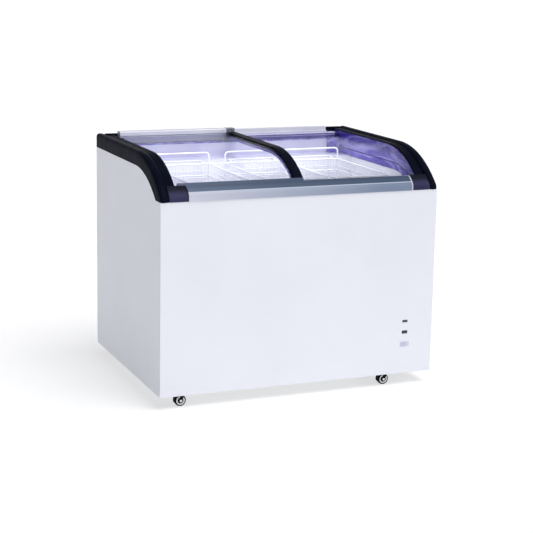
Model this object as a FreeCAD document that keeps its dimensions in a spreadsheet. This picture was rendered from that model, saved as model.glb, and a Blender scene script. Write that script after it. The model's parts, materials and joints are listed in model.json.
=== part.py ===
"""Chest display freezer with two curved glass doors that slide past each other.

Frame: X runs along the front of the cabinet, +Y points to the rear and +Z up.
The origin is on the floor, under the middle of the cabinet. Sizes are in millimetres.
The driving dimensions are cells of the sheet "Sizes". Lengths and places below are
expressions of those cells, written without the sheet's name, which bound() adds. Some
small details, such as lips, clearances and edge radii, are plain numbers.
"""
import FreeCAD, Part
import math
import os
import re
import Sketcher
from FreeCAD import Placement, Rotation, Vector

SIZES = {
    # whole cabinet
    "half_width": 510,
    "half_depth": 375,
    "skirt_low": 44,
    "sheet_steel": 1.2,
    "panel_face": -372,
    "panel_top": 703,
    # curved outline of the ends: straight to the rear of arc_start, round in front of it
    "arc_start": -100,
    "ridge_top": 840,
    "ridge_arc": 368,
    "band_height": 50,
    "corner_arc": 20,
    "frame_wall": 3,
    "ridge_width": 32,
    "corner_width": 97,
    "corner_rear": -338,
    "return_face": 355,
    # curve of the doors, with its own centre
    "door_zero": 497,
    "outer_glass": 337,
    "inner_glass": 323,
    "glass_thick": 4,
    "glass_rear": 328,
    "glass_end": 41,
    "door_side": 440,
    "trim_half": 17,
    "trim_lip": 3,
    "trim_web": 6,
    "profile_start": 40.2,
    "profile_end": 43.5,
    "profile_front": 318,
    "cap_width": 36,
    # linings, liner and tub
    "lining_face": 445,
    "lining_corner": 392,
    "lining_thick": 3,
    "lining_low": 745,
    "lining_bend": -160,
    "lining_arc": 220,
    "lining_front": -330,
    "groove_rise": 24,
    "groove_width": 3,
    "liner_wall": 1.5,
    "tub_half": 448.2,
    "tub_front": -290,
    "tub_rear": 190,
    "tub_floor": 105,
    "hump_face": 220,
    "hump_top": 330,
    "ledge_top": 748,
    "upstand_face": 298,
    "upstand_top": 800,
    # machine room under the hump
    "room_side": 258,
    "room_front": -330,
    "room_top": 268,
    "pan_low": 55,
    "pan_thick": 1.5,
    "grille_left": 290,
    "grille_right": 480,
    "grille_low": 80,
    "grille_high": 250,
    # baskets
    "basket_half": 115,
    "basket_left_x": -258,
    "basket_centre_x": 30,
    "basket_right_x": 263.5,
    "basket_front": -272,
    "basket_rear": 166,
    "basket_low": 515,
    "basket_top": 745,
    "basket_wire": 5,
    "hook_thick": 3,
    "loop_half": 112,
    "loop_top": 784,
    "loop_radius": 3,
    "loop_bend": 15,
    "hook_inset": 20,
    "rear_hook": 34,
    "front_hook": 28,
    # controls, all on one upright line of the front
    "control_x": 402,
    "lens_z": 234,
    "switch_z": 194,
    "dial_z": 150,
    "dial_radius": 8,
    # casters
    "caster_left": -446,
    "caster_right": 319,
    "caster_y": 338,
    "caster_trail": 18,
    "wheel_radius": 20,
    "wheel_half": 8.5,
    "axle_radius": 3,
    "pin_radius": 4,
    "running_gap": 0.05,
    # folds of the sheet metal and room for the foam
    "panel_fold": 15,
    "pan_flange": 18,
    "foam_rear": 373,
    "shoulder_top": 757,
    # cooling coil round the tub
    "coil_low": 380,
    "coil_step": 56,
    "coil_radius": 4,
    "coil_room": 14,
    # drain and cable gland
    "drain_x": -380,
    "drain_y": -230,
    "drain_radius": 12,
    "gland_x": 272,
    "gland_z": 90,
    # rails and tracks
    "track_low": 703,
    "track_rear": -309,
    "track_lip": -282,
    "track_step": -325.2,
    "rail_top": 750,
    "rail_front": 345,
    "rail_step": 826.5,
    "rail_groove": 350,
    "track_rear_top": 804,
    "inner_groove": 330,
    "foot_thick": 6,
    "screw_z": 812,
    # machinery
    "compressor_x": 400,
    "compressor_y": 270,
    "condenser_left": 300,
    "condenser_right": 470,
    "condenser_front": -250,
    "condenser_rear": -190,
    "condenser_low": 70,
    "condenser_top": 250,
    "condenser_tube": 3.5,
    "fan_x": 382,
    "fan_y": -110,
    "fan_z": 156,
    "fan_reach": 58,
    "shaft_radius": 2.5,
    "drier_x": 268,
    "drier_front": -100,
    "drier_radius": 8,
}
COIL_TURNS = 6
AIR_SLOTS = 5
AIR_SLOT_STEP = 42
SCREW_PLACES = (20, 60)
CONDENSER_ROWS = 6
CONDENSER_FINS = 16
FAN_BLADES = 5
ROW_RISE = "(condenser_top - condenser_low) / %d / 2" % CONDENSER_ROWS
DRIER_Z = "condenser_top - %s" % ROW_RISE

document = FreeCAD.newDocument("chest_freezer")
sheet = document.addObject("Spreadsheet::Sheet", "Sizes")
for row, (alias, size) in enumerate(SIZES.items(), start=1):
    sheet.set("A%d" % row, alias)
    sheet.set("B%d" % row, str(size))
    sheet.setAlias("B%d" % row, alias)
document.recompute()

pieces = {}
WORD = re.compile(r"[a-z][a-z_]+")
PLANES = {"YZ": "YZ_Plane", "XZ": "XZ_Plane", "XY": "XY_Plane"}


# ---- helpers -------------------------------------------------------------------------


def bound(text):
    """Puts the sheet's name before each of its aliases in an expression."""
    return WORD.sub(lambda m: "Sizes." + m.group() if m.group() in SIZES else m.group(), str(text))


def value(text):
    """The number that an expression gives now."""
    return float(sheet.evalExpression(bound(text)))


def keep(label, feature):
    """Records a finished sub-part under the name of its file."""
    feature.Label = label
    pieces[label] = feature
    return feature


def negative(text):
    return "-(%s)" % text


def span(side, near, far):
    """An interval along X from near to far, mirrored when side is -1."""
    return (near, far) if side > 0 else (negative(far), negative(near))


def box(name, x, y, z):
    feature = document.addObject("Part::Box", name)
    for size, axis, (low, high) in zip(("Length", "Width", "Height"), "xyz", (x, y, z)):
        feature.setExpression(size, bound("(%s) - (%s)" % (high, low)))
        feature.setExpression("Placement.Base.%s" % axis, bound(low))
    return feature


def rod(name, axis, start, length, radius):
    """A cylinder from start, along +X, +Y or +Z."""
    turns = {"X": Rotation(Vector(0, 1, 0), 90), "Y": Rotation(Vector(1, 0, 0), -90), "Z": Rotation()}
    feature = document.addObject("Part::Cylinder", name)
    feature.setExpression("Radius", bound(radius))
    feature.setExpression("Height", bound(length))
    feature.Placement = Placement(Vector(), turns[axis])
    for letter, place in zip("xyz", start):
        feature.setExpression("Placement.Base.%s" % letter, bound(place))
    return feature


def join(name, parts):
    feature = document.addObject("Part::MultiFuse", name)
    feature.Shapes = parts
    return feature


def group(name, parts):
    """Separate solids that share one node."""
    feature = document.addObject("Part::Compound", name)
    feature.Links = parts
    return feature


def cut(name, base, tools):
    feature = document.addObject("Part::Cut", name)
    feature.Base = base
    feature.Tool = tools[0] if len(tools) == 1 else group(name + "_tools", tools)
    return feature


def solid_feature(name, shape):
    feature = document.addObject("Part::Feature", name)
    feature.Shape = shape
    feature.Placement = Placement()
    return feature


def draw(sketch, outline):
    """Draws a closed outline and binds every corner and radius to the sheet.

    A corner is (across, up). A corner with a radius and a side starts an arc to the next
    corner, whose centre is to the left of the way there when side is 1.
    """
    places = [Vector(value(corner[0]), value(corner[1]), 0) for corner in outline]
    bonds = []
    ends = []
    for index, corner in enumerate(outline):
        start = places[index]
        finish = places[(index + 1) % len(outline)]
        if len(corner) == 2:
            edge = sketch.addGeometry(Part.LineSegment(start, finish), False)
            ends.append((edge, 1, 2))
            continue
        radius, side = value(corner[2]), corner[3]
        chord = finish - start
        rise = math.sqrt(radius**2 - (chord.Length / 2) ** 2)
        left = Vector(-chord.y, chord.x, 0).normalize()
        centre = (start + finish) * 0.5 + left * (side * rise)
        angles = [math.atan2(end.y - centre.y, end.x - centre.x) for end in (start, finish)]
        if side < 0:
            angles.reverse()
        if angles[1] < angles[0]:
            angles[1] += 2 * math.pi
        circle = Part.Circle(centre, Vector(0, 0, 1), radius)
        edge = sketch.addGeometry(Part.ArcOfCircle(circle, angles[0], angles[1]), False)
        ends.append((edge, 1, 2) if side > 0 else (edge, 2, 1))
        bonds.append((Sketcher.Constraint("Radius", edge, radius), corner[2]))
    for index, corner in enumerate(outline):
        edge, first, _ = ends[index]
        before, _, last = ends[index - 1]
        bonds.append((Sketcher.Constraint("Coincident", before, last, edge, first), None))
        for kind, size, place in (
            ("DistanceX", places[index].x, corner[0]),
            ("DistanceY", places[index].y, corner[1]),
        ):
            bonds.append((Sketcher.Constraint(kind, -1, 1, edge, first, size), place))
    for bond, text in bonds:
        number = sketch.addConstraint(bond)
        if text is not None:
            sketch.setExpression("Constraints[%d]" % number, bound(text))


def shape_between(body, plane, outline, low, high, cutting=False):
    """Adds to a body, or cuts from it, an outline drawn out from low to high.

    The interval lies along the axis that the plane leaves out.
    """
    kind = "Pocket" if cutting else "Pad"
    name = "%s_%s" % (body.Name, kind.lower())
    sketch = body.newObject("Sketcher::SketchObject", name + "_outline")
    planes = {part.Role: part for part in body.Origin.OriginFeatures}
    sketch.AttachmentSupport = (planes[PLANES[plane]], "")
    sketch.MapMode = "FlatFace"
    # the normal of the XZ plane points to the front, so its offset runs backwards
    offset = negative(high) if plane == "XZ" else low
    sketch.setExpression("AttachmentOffset.Base.z", bound(offset))
    draw(sketch, outline)
    feature = body.newObject("PartDesign::" + kind, name)
    feature.Profile = sketch
    feature.Reversed = cutting
    feature.setExpression("Length", bound("(%s) - (%s)" % (high, low)))
    body.Tip = feature
    return feature


def new_body(label):
    return keep(label, document.addObject("PartDesign::Body", label))


def rectangle(across, up):
    return [(across[0], up[0]), (across[1], up[0]), (across[1], up[1]), (across[0], up[1])]


def circle(x, y, radius):
    """A circle drawn as four quarter turns."""
    return [
        ("%s - (%s)" % (x, radius), y, radius, 1),
        (x, "%s - (%s)" % (y, radius), radius, 1),
        ("%s + (%s)" % (x, radius), y, radius, 1),
        (x, "%s + (%s)" % (y, radius), radius, 1),
    ]


def rounded_path(points, bend):
    """A wire of straight runs joined by arcs of one radius."""
    edges = []
    start = points[0]
    for before, corner, after in zip(points, points[1:], points[2:]):
        inward = (before - corner).normalize()
        outward = (after - corner).normalize()
        half_turn = inward.getAngle(outward) / 2
        reach = bend / math.tan(half_turn)
        first = corner + inward * reach
        last = corner + outward * reach
        middle_way = (inward + outward).normalize()
        middle = corner + middle_way * (bend / math.sin(half_turn) - bend)
        edges.append(Part.LineSegment(start, first).toShape())
        edges.append(Part.Arc(first, middle, last).toShape())
        start = last
    edges.append(Part.LineSegment(start, points[-1]).toShape())
    return Part.Wire(edges)


def tube_shape(points, bend, radius):
    """A round bar along a path with rounded corners."""
    path = rounded_path(points, bend)
    way = (points[1] - points[0]).normalize()
    ring = Part.Wire(Part.Circle(points[0], way, radius).toShape())
    return path.makePipeShell([ring], True, False)


def flat_grid(corner, across, up, windows, bar):
    """A flat panel of bars: a rectangle of across by up with equal windows in rows."""
    def loop(origin, first, second):
        return Part.makePolygon([origin, origin + first, origin + first + second, origin + second, origin])

    columns, rows = windows
    face_normal = across.cross(up).normalize()
    across_way = Vector(across).normalize()
    up_way = Vector(up).normalize()
    wide = (across.Length - bar * (columns + 1)) / columns
    tall = (up.Length - bar * (rows + 1)) / rows
    loops = [loop(corner, across, up)]
    for column in range(columns):
        for line in range(rows):
            origin = corner + across_way * (bar + column * (wide + bar))
            origin += up_way * (bar + line * (tall + bar))
            loops.append(loop(origin, across_way * wide, up_way * tall))
    return Part.Face(loops, "Part::FaceMakerBullseye").extrude(face_normal * bar)


# ---- curves shared by several sub-parts ----------------------------------------------

RIDGE_ZERO = "(ridge_top - ridge_arc)"
FRONT = "-half_depth"
CORNER_SINE = "((arc_start + half_depth - corner_arc) / (ridge_arc - corner_arc))"
CORNER_COSINE = "sqrt(1 - %s ^ 2)" % CORNER_SINE


def height_on(zero, radius, across):
    """Height of an arc about arc_start at the place across."""
    return "%s + sqrt((%s) ^ 2 - (%s - arc_start) ^ 2)" % (zero, radius, across)


def place_on(zero, radius, angle):
    """The point of an arc about arc_start, at an angle forward of its top."""
    return "arc_start - (%s) * sin(%s)" % (radius, angle), "%s + (%s) * cos(%s)" % (zero, radius, angle)


def curved_band(low_arc, high_arc, rear, end_angle):
    """Section of a sheet that is flat to the rear and round to the front."""
    low_end = place_on("door_zero", low_arc, end_angle)
    high_end = place_on("door_zero", high_arc, end_angle)
    return [
        (rear, "door_zero + %s" % low_arc),
        ("arc_start", "door_zero + %s" % low_arc, low_arc, 1),
        low_end,
        high_end + (high_arc, -1),
        ("arc_start", "door_zero + %s" % high_arc),
        (rear, "door_zero + %s" % high_arc),
    ]


def arc_piece(low_arc, high_arc, start_angle, end_angle):
    """Section of a short round stretch between two angles."""
    return [
        place_on("door_zero", low_arc, start_angle) + (low_arc, 1),
        place_on("door_zero", low_arc, end_angle),
        place_on("door_zero", high_arc, end_angle) + (high_arc, -1),
        place_on("door_zero", high_arc, start_angle),
    ]


# ---- steel cabinet -------------------------------------------------------------------


def front_panel():
    """Flat front with returned edges and windows for the controls."""
    body = new_body("front_panel")
    inner, folded = "panel_face + sheet_steel", "panel_face + panel_fold"
    side, inset = "half_width", "half_width - sheet_steel"
    tall = ("skirt_low", "panel_top")
    shape_between(body, "XZ", rectangle((negative(side), side), tall), "panel_face", inner)
    for sign in (-1, 1):
        shape_between(body, "XZ", rectangle(span(sign, inset, side), tall), inner, folded)
    wide = (negative(inset), inset)
    for edge in (("skirt_low", "skirt_low + sheet_steel"), ("panel_top - sheet_steel", "panel_top")):
        shape_between(body, "XZ", rectangle(wide, edge), inner, folded)
    windows = (("lens_z", "10.2", "4.2"), ("switch_z", "10.7", "5.7"), ("dial_z", "17.2", "8.7"))
    for middle, half_wide, half_tall in windows:
        across = ("control_x - %s" % half_wide, "control_x + %s" % half_wide)
        up = ("%s - %s" % (middle, half_tall), "%s + %s" % (middle, half_tall))
        shape_between(body, "XZ", rectangle(across, up), "panel_face - 1", "panel_face + 2", True)


def side_outline():
    """Side panel: its top edge runs a band's height below the ridge."""
    arc = "(ridge_arc - band_height)"
    fall = "arc_start - sqrt(%s ^ 2 - (panel_top - %s) ^ 2)" % (arc, RIDGE_ZERO)
    return [
        ("half_depth - sheet_steel", "skirt_low"),
        ("half_depth - sheet_steel", "ridge_top - band_height"),
        ("arc_start", "ridge_top - band_height", arc, 1),
        (fall, "panel_top"),
        ("panel_face + 15", "panel_top"),
        ("panel_face + 15", "skirt_low"),
    ]


def side_panels():
    for name, side in (("left_side_panel", -1), ("right_side_panel", 1)):
        low, high = span(side, "half_width - sheet_steel", "half_width")
        shape_between(new_body(name), "YZ", side_outline(), low, high)


def rear_panel():
    """Flat rear with the opening of the grille and the hole of the cable gland."""
    body = new_body("rear_panel")
    wide = (negative("half_width"), "half_width")
    tall = ("skirt_low", "ridge_top - band_height")
    shape_between(body, "XZ", rectangle(wide, tall), "half_depth - sheet_steel", "half_depth")
    grille = rectangle(("grille_left", "grille_right"), ("grille_low", "grille_high"))
    gland = rectangle(("gland_x - 8", "gland_x + 8"), ("gland_z - 8", "gland_z + 8"))
    for opening in (grille, gland):
        shape_between(body, "XZ", opening, "half_depth - 3", "half_depth + 1", True)


def base_pan():
    """Tray under the cabinet, with upright flanges and air slots below the machine room."""
    body = new_body("base_pan")
    side = "half_width - sheet_steel"
    front = "panel_face + panel_fold"
    rear = "half_depth - sheet_steel"
    outline = rectangle((negative(side), side), (front, rear))
    shape_between(body, "XY", outline, "pan_low", "pan_low + pan_flange")
    hollow = rectangle(
        (negative("%s - pan_thick" % side), "%s - pan_thick" % side),
        ("%s + pan_thick" % front, "%s - pan_thick" % rear),
    )
    shape_between(body, "XY", hollow, "pan_low + pan_thick", "pan_low + pan_flange + 1", True)
    for slot in range(AIR_SLOTS):
        low = "room_side + 27 + %d" % (AIR_SLOT_STEP * slot)
        outline = rectangle((low, "%s + 22" % low), ("-300", "-150"))
        shape_between(body, "XY", outline, "pan_low - 1", "pan_low + pan_thick + 1", True)


def insulation_foam():
    """Foam between the steel shell and the liner, with hollows for what it surrounds."""
    top = "panel_top - 3"
    low = "pan_low + pan_flange + 0.5"
    side = "half_width - sheet_steel - 1"
    wall = "tub_half + liner_wall"
    front = "tub_front - liner_wall"
    rear = "tub_rear + liner_wall"
    block = box("foam_block", (negative(side), side), ("panel_face + panel_fold", "foam_rear"), (low, top))
    shoulders = [
        box("foam_shoulder", span(sign, wall, side), ("arc_start", "return_face - 2"), (top, "shoulder_top"))
        for sign in (-1, 1)
    ]
    under_ledge = (negative("lining_face - 1"), "lining_face - 1")
    ledge = box("foam_ledge", under_ledge, (rear, "rail_front"), (top, "ledge_top - liner_wall"))
    whole = join("foam_whole", [block, ledge] + shoulders)
    hollows = [
        box("foam_tub", (negative(wall), "hump_face + liner_wall"), (front, rear),
            ("tub_floor - liner_wall", "panel_top")),
        box("foam_over_hump", ("hump_face", wall), (front, rear), ("hump_top - liner_wall", "panel_top")),
        box("foam_room", ("room_side", "half_width"), ("room_front", "half_depth"), ("pan_low", "room_top")),
        box("foam_controls", ("control_x - 40", "control_x + 40"), ("-half_depth", "room_front + 1"),
            ("dial_z - 40", "lens_z + 30")),
        rod("foam_drain", "Z", ("drain_x", "drain_y", "pan_low"), "tub_floor", "drain_radius + 5"),
        box("foam_riser", ("-80", "80"), ("tub_rear", "tub_rear + coil_room"),
            ("coil_low - 8", "coil_low + %d * coil_step + 8" % (COIL_TURNS - 1))),
    ]
    for sign in (-1, 1):
        hollows.append(
            box("foam_lining", span(sign, "lining_face - 1", wall), ("lining_front - 1", "tub_front"),
                ("lining_low - lining_arc / 2", "panel_top"))
        )
    for turn in range(COIL_TURNS):
        height = "coil_low + %d * coil_step" % turn
        hollows.append(
            box("foam_coil", (negative("tub_half + coil_room"), "tub_half + coil_room"),
                ("tub_front - coil_room", "tub_rear + coil_room"),
                ("%s - coil_radius - 1" % height, "%s + coil_radius + 1" % height))
        )
    keep("insulation_foam", cut("foam", whole, hollows))


# ---- liner, linings and end frames ----------------------------------------------------


def inner_liner():
    """White tub with a step over the machine room, a rear ledge and its upstand."""
    body = new_body("inner_liner")
    rim = "lining_low + 15"
    front, rear = "tub_front - liner_wall", "tub_rear + liner_wall"
    wall = "tub_half + liner_wall"
    outer = [
        (negative(wall), "tub_floor - liner_wall"),
        ("hump_face + liner_wall", "tub_floor - liner_wall"),
        ("hump_face + liner_wall", "hump_top - liner_wall"),
        (wall, "hump_top - liner_wall"),
        (wall, rim),
        (negative(wall), rim),
    ]
    inner = [
        (negative("tub_half"), "tub_floor"),
        ("hump_face", "tub_floor"),
        ("hump_face", "hump_top"),
        ("tub_half", "hump_top"),
        ("tub_half", "%s + 1" % rim),
        (negative("tub_half"), "%s + 1" % rim),
    ]
    shape_between(body, "XZ", outer, front, rear)
    shape_between(body, "XZ", inner, "tub_front", "tub_rear", True)
    wide = ("-half_width", "half_width")
    shape_between(body, "XZ", rectangle(wide, ("track_low + 17", "half_width * 2")), "%s - 1" % front,
                  "tub_front + 1", True)
    shape_between(body, "XZ", rectangle(wide, ("ledge_top", "half_width * 2")), "tub_rear - 1",
                  "%s + 1" % rear, True)
    ledge = ("-lining_face + 0.5", "lining_face - 0.5")
    shape_between(body, "XZ", rectangle(ledge, ("ledge_top - liner_wall", "ledge_top")), "tub_rear",
                  "upstand_face + liner_wall")
    shape_between(body, "XZ", rectangle(ledge, ("ledge_top - liner_wall", "upstand_top")), "upstand_face",
                  "upstand_face + liner_wall")
    low_edge = "lining_low - lining_arc + sqrt(lining_arc ^ 2 - (%s - lining_bend) ^ 2) - 1" % front
    for sign in (-1, 1):
        x = span(sign, "lining_face - 1", "tub_half")
        front_cut = rectangle(x, (low_edge, "ridge_top"))
        shape_between(body, "XZ", front_cut, "%s - 1" % front, "tub_front + 1", True)
        rear_cut = rectangle(x, ("lining_low - 1", "ridge_top"))
        shape_between(body, "XZ", rear_cut, "tub_rear - 1", "%s + 1" % rear, True)
    drain = circle("drain_x", "drain_y", "drain_radius")
    shape_between(body, "XY", drain, "tub_floor - 3", "tub_floor + 1", True)


def evaporator_tube():
    """Copper tube wound round the outside of the tub, rising one step in each turn."""
    side = value("tub_half + liner_wall + coil_radius + 2")
    front = value("tub_front - liner_wall - coil_radius - 2")
    rear = value("tub_rear + liner_wall + coil_radius + 2")
    low, step, radius = value("coil_low"), value("coil_step"), value("coil_radius")
    points = [Vector(-side + 60, rear, low)]
    for turn in range(COIL_TURNS):
        height = low + turn * step
        points += [Vector(-side, rear, height), Vector(-side, front, height), Vector(side, front, height)]
        points += [Vector(side, rear, height)]
        if turn < COIL_TURNS - 1:
            points += [Vector(60, rear, height), Vector(-60, rear, height + step)]
    points.append(Vector(side - 120, rear, low + (COIL_TURNS - 1) * step))
    keep("evaporator_tube", solid_feature("evaporator", tube_shape(points, 2 * radius, radius)))


def end_outline():
    """Outer outline of an end frame, from the rear foot over the ridge to the front corner."""
    corner = ("-half_depth + corner_arc * (1 - %s)" % CORNER_SINE,
              "%s + ridge_arc * %s" % (RIDGE_ZERO, CORNER_COSINE))
    upright = "%s - corner_arc * %s" % (corner[1], CORNER_COSINE)
    fall = "arc_start - sqrt((ridge_arc - band_height) ^ 2 - (panel_top - %s) ^ 2)" % RIDGE_ZERO
    return [
        ("half_depth", "ridge_top - band_height"),
        ("half_depth", "ridge_top"),
        ("arc_start", "ridge_top", "ridge_arc", 1),
        corner + ("corner_arc", 1),
        ("-half_depth", upright),
        ("-half_depth", "panel_top"),
        (fall, "panel_top", "ridge_arc - band_height", -1),
        ("arc_start", "ridge_top - band_height"),
    ]


def hollow_outline():
    """The same outline a wall's thickness inside, open below."""
    arc = "(ridge_arc - frame_wall)"
    front = "-half_depth + frame_wall"
    return [
        ("half_depth - frame_wall", "panel_top - 20"),
        ("half_depth - frame_wall", "ridge_top - frame_wall"),
        ("arc_start", "ridge_top - frame_wall", arc, 1),
        ("%s + 12" % front, height_on(RIDGE_ZERO, arc, "%s + 12" % front)),
        (front, "panel_top + 9"),
        (front, "panel_top - 20"),
    ]


def block_outline(inset):
    """Front corner block, or the hollow inside it."""
    front = "-half_depth + %s" % inset
    arc = "(ridge_arc - %s)" % inset
    rear = "corner_rear - %s" % inset
    knee = "-half_depth + corner_arc * (1 - %s) + %s" % (CORNER_SINE, inset)
    return [
        (rear, "panel_top - 2 * %s" % inset),
        (rear, height_on(RIDGE_ZERO, arc, rear), arc, 1),
        (knee, height_on(RIDGE_ZERO, arc, knee)),
        (front, "panel_top + 8"),
        (front, "panel_top - 2 * %s" % inset),
    ]


def end_frames():
    """Black moulded ends: a ridge, an inner band beside the doors and corner pieces."""
    for name, side in (("left_end_frame", -1), ("right_end_frame", 1)):
        body = new_body(name)
        inner = "(half_width - ridge_width)"
        low, high = span(side, inner, "half_width")
        shape_between(body, "YZ", end_outline(), low, high)
        low, high = span(side, "%s + frame_wall" % inner, "half_width - frame_wall")
        shape_between(body, "YZ", hollow_outline(), low, high, True)
        band = curved_band("(outer_glass - 3)", "(outer_glass + 1)", "half_depth", "44.5")
        low, high = span(side, "lining_face", "%s + 1" % inner)
        shape_between(body, "YZ", band, low, high)
        block_inner = "half_width - corner_width"
        low, high = span(side, block_inner, "%s + 1" % inner)
        shape_between(body, "YZ", block_outline("0"), low, high)
        low, high = span(side, "%s + frame_wall" % block_inner, "%s - frame_wall" % inner)
        shape_between(body, "YZ", block_outline("frame_wall"), low, high, True)
        foot = rectangle(("return_face", "half_depth"), ("ridge_top - band_height", "ridge_top - 1"))
        low, high = span(side, block_inner, "%s + 1" % inner)
        shape_between(body, "YZ", foot, low, high)
        foot_hollow = rectangle(
            ("return_face + frame_wall", "half_depth - 4"),
            ("ridge_top - band_height - 1", "ridge_top - 1 - frame_wall"),
        )
        low, high = span(side, "%s + frame_wall" % block_inner, "%s - frame_wall" % inner)
        shape_between(body, "YZ", foot_hollow, low, high, True)
        for offset in SCREW_PLACES:
            place = "%d * (half_width - corner_width + %d)" % (side, offset)
            up = ("screw_z - 2.2", "screw_z + 2.2")
            hole = rectangle(("%s - 2.2" % place, "%s + 2.2" % place), up)
            shape_between(body, "XZ", hole, "half_depth - 6", "half_depth + 1", True)


def frame_screws():
    """Screws that hold the rear feet of the end frames."""
    screws = []
    for side in (-1, 1):
        for offset in SCREW_PLACES:
            place = "%d * (half_width - corner_width + %d)" % (side, offset)
            shank = rod("screw_shank", "Y", (place, "half_depth - 14", "screw_z"), "13", "2")
            screws.append(shank)
    keep("frame_screws", group("screws", screws))


def end_linings():
    """Glossy inner linings of the two ends, with a groove that follows the lower edge."""
    low_zero = "(lining_low - lining_arc)"
    top = "outer_glass - 3"
    for name, side in (("left_end_lining", -1), ("right_end_lining", 1)):
        body = new_body(name)
        outline = [
            ("return_face - 11", "lining_low"),
            ("return_face - 11", "door_zero + %s" % top),
            ("arc_start", "door_zero + %s" % top, top, 1),
            ("lining_front", height_on("door_zero", "(%s)" % top, "lining_front")),
            ("lining_front", "%s + sqrt(lining_arc ^ 2 - (lining_front - lining_bend) ^ 2)" % low_zero,
             "lining_arc", -1),
            ("lining_bend", "lining_low"),
        ]
        low, high = span(side, "lining_face", "lining_face + lining_thick")
        shape_between(body, "YZ", outline, low, high)
        groove = [("return_face - 5", "lining_low + groove_rise")]
        for arc, turn in (("lining_arc + groove_rise", -1), ("lining_arc + groove_rise + groove_width", 1)):
            bend = ("lining_bend", "%s + %s" % (low_zero, arc))
            front = ("lining_front - 1",
                     "%s + sqrt((%s) ^ 2 - (lining_front - 1 - lining_bend) ^ 2)" % (low_zero, arc))
            if turn < 0:
                groove += [bend + (arc, 1), front]
            else:
                groove += [front + (arc, -1), bend]
        groove.append(("return_face - 5", "lining_low + groove_rise + groove_width"))
        low, high = span(side, "lining_face - 1", "lining_face + 1")
        shape_between(body, "YZ", groove, low, high, True)
        low, high = span(side, "lining_corner", "lining_face + 1")
        corner = rectangle(("upstand_face - 14", "upstand_face - 0.5"),
                           ("ledge_top + 0.5", "upstand_top + 6"))
        shape_between(body, "YZ", corner, low, high)


# ---- rails and tracks ------------------------------------------------------------------


def front_rail():
    """Aluminium rail along the front edge, between the corner blocks."""
    body = new_body("front_rail")
    side = "half_width - corner_width"
    outer = [
        ("corner_rear", "panel_top"),
        ("corner_rear", "rail_top"),
        ("corner_rear - 3", "rail_top", "30", 1),
        ("-half_depth + 19", "rail_top - 7"),
        ("-half_depth + 5", "rail_top - 21", "14", 1),
        ("-half_depth", "rail_top - 30"),
        ("-half_depth", "panel_top"),
    ]
    inner = [
        ("corner_rear - 2.5", "panel_top + 2.5"),
        ("corner_rear - 2.5", "rail_top - 3.5"),
        ("-half_depth + 20", "rail_top - 10"),
        ("-half_depth + 6.5", "rail_top - 23.5"),
        ("-half_depth + 2.5", "rail_top - 30"),
        ("-half_depth + 2.5", "panel_top + 2.5"),
    ]
    shape_between(body, "YZ", outer, negative(side), side)
    shape_between(body, "YZ", inner, "-half_width", "half_width", True)


def front_track():
    """Plastic track with an outer channel and a lower inner one, and a lip over the liner."""
    outline = [
        ("corner_rear + 0.5", "track_low"),
        ("track_rear", "track_low"),
        ("track_rear", "track_low + 17"),
        ("track_lip", "track_low + 17"),
        ("track_lip", "track_low + 21"),
        ("track_rear - 5.5", "track_low + 21"),
        ("track_rear - 5.5", "track_low + 10.5"),
        ("track_step", "track_low + 10.5"),
        ("track_step", "track_low + 24"),
        ("corner_rear + 2.5", "track_low + 24"),
        ("corner_rear + 2.5", "track_low + 28"),
        ("corner_rear + 0.5", "track_low + 28"),
    ]
    body = new_body("front_track")
    shape_between(body, "YZ", outline, "-lining_face + 0.5", "lining_face - 0.5")


def rear_rail():
    """Rail along the rear, with a grooved step for the outer door and an upright behind it."""
    body = new_body("rear_rail")
    side = "half_width - corner_width"
    outline = [
        ("rail_front", "ridge_top - band_height"),
        ("half_depth", "ridge_top - band_height"),
        ("half_depth", "ridge_top + 2"),
        ("return_face", "ridge_top + 2"),
        ("return_face", "rail_step"),
        ("rail_groove + 2.5", "rail_step"),
        ("rail_groove + 2.5", "rail_step - 9"),
        ("rail_groove - 2.5", "rail_step - 9"),
        ("rail_groove - 2.5", "rail_step"),
        ("rail_front", "rail_step"),
    ]
    shape_between(body, "YZ", outline, negative(side), side)
    hollow = rectangle(("return_face + 3", "half_depth - 3"),
                       ("ridge_top - band_height + 3", "ridge_top - 2"))
    shape_between(body, "YZ", hollow, "-half_width", "half_width", True)


def rear_track():
    """Track of the inner door, in front of the rear rail."""
    outline = [
        ("upstand_face + 2", "track_rear_top - 26"),
        ("rail_front - 0.5", "track_rear_top - 26"),
        ("rail_front - 0.5", "track_rear_top"),
        ("inner_groove + 6", "track_rear_top"),
        ("inner_groove + 6", "track_rear_top - 10"),
        ("inner_groove - 6", "track_rear_top - 10"),
        ("inner_groove - 6", "track_rear_top"),
        ("upstand_face + 2", "track_rear_top"),
    ]
    body = new_body("rear_track")
    shape_between(body, "YZ", outline, "-lining_face + 0.5", "lining_face - 0.5")


# ---- sliding doors ---------------------------------------------------------------------


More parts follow.
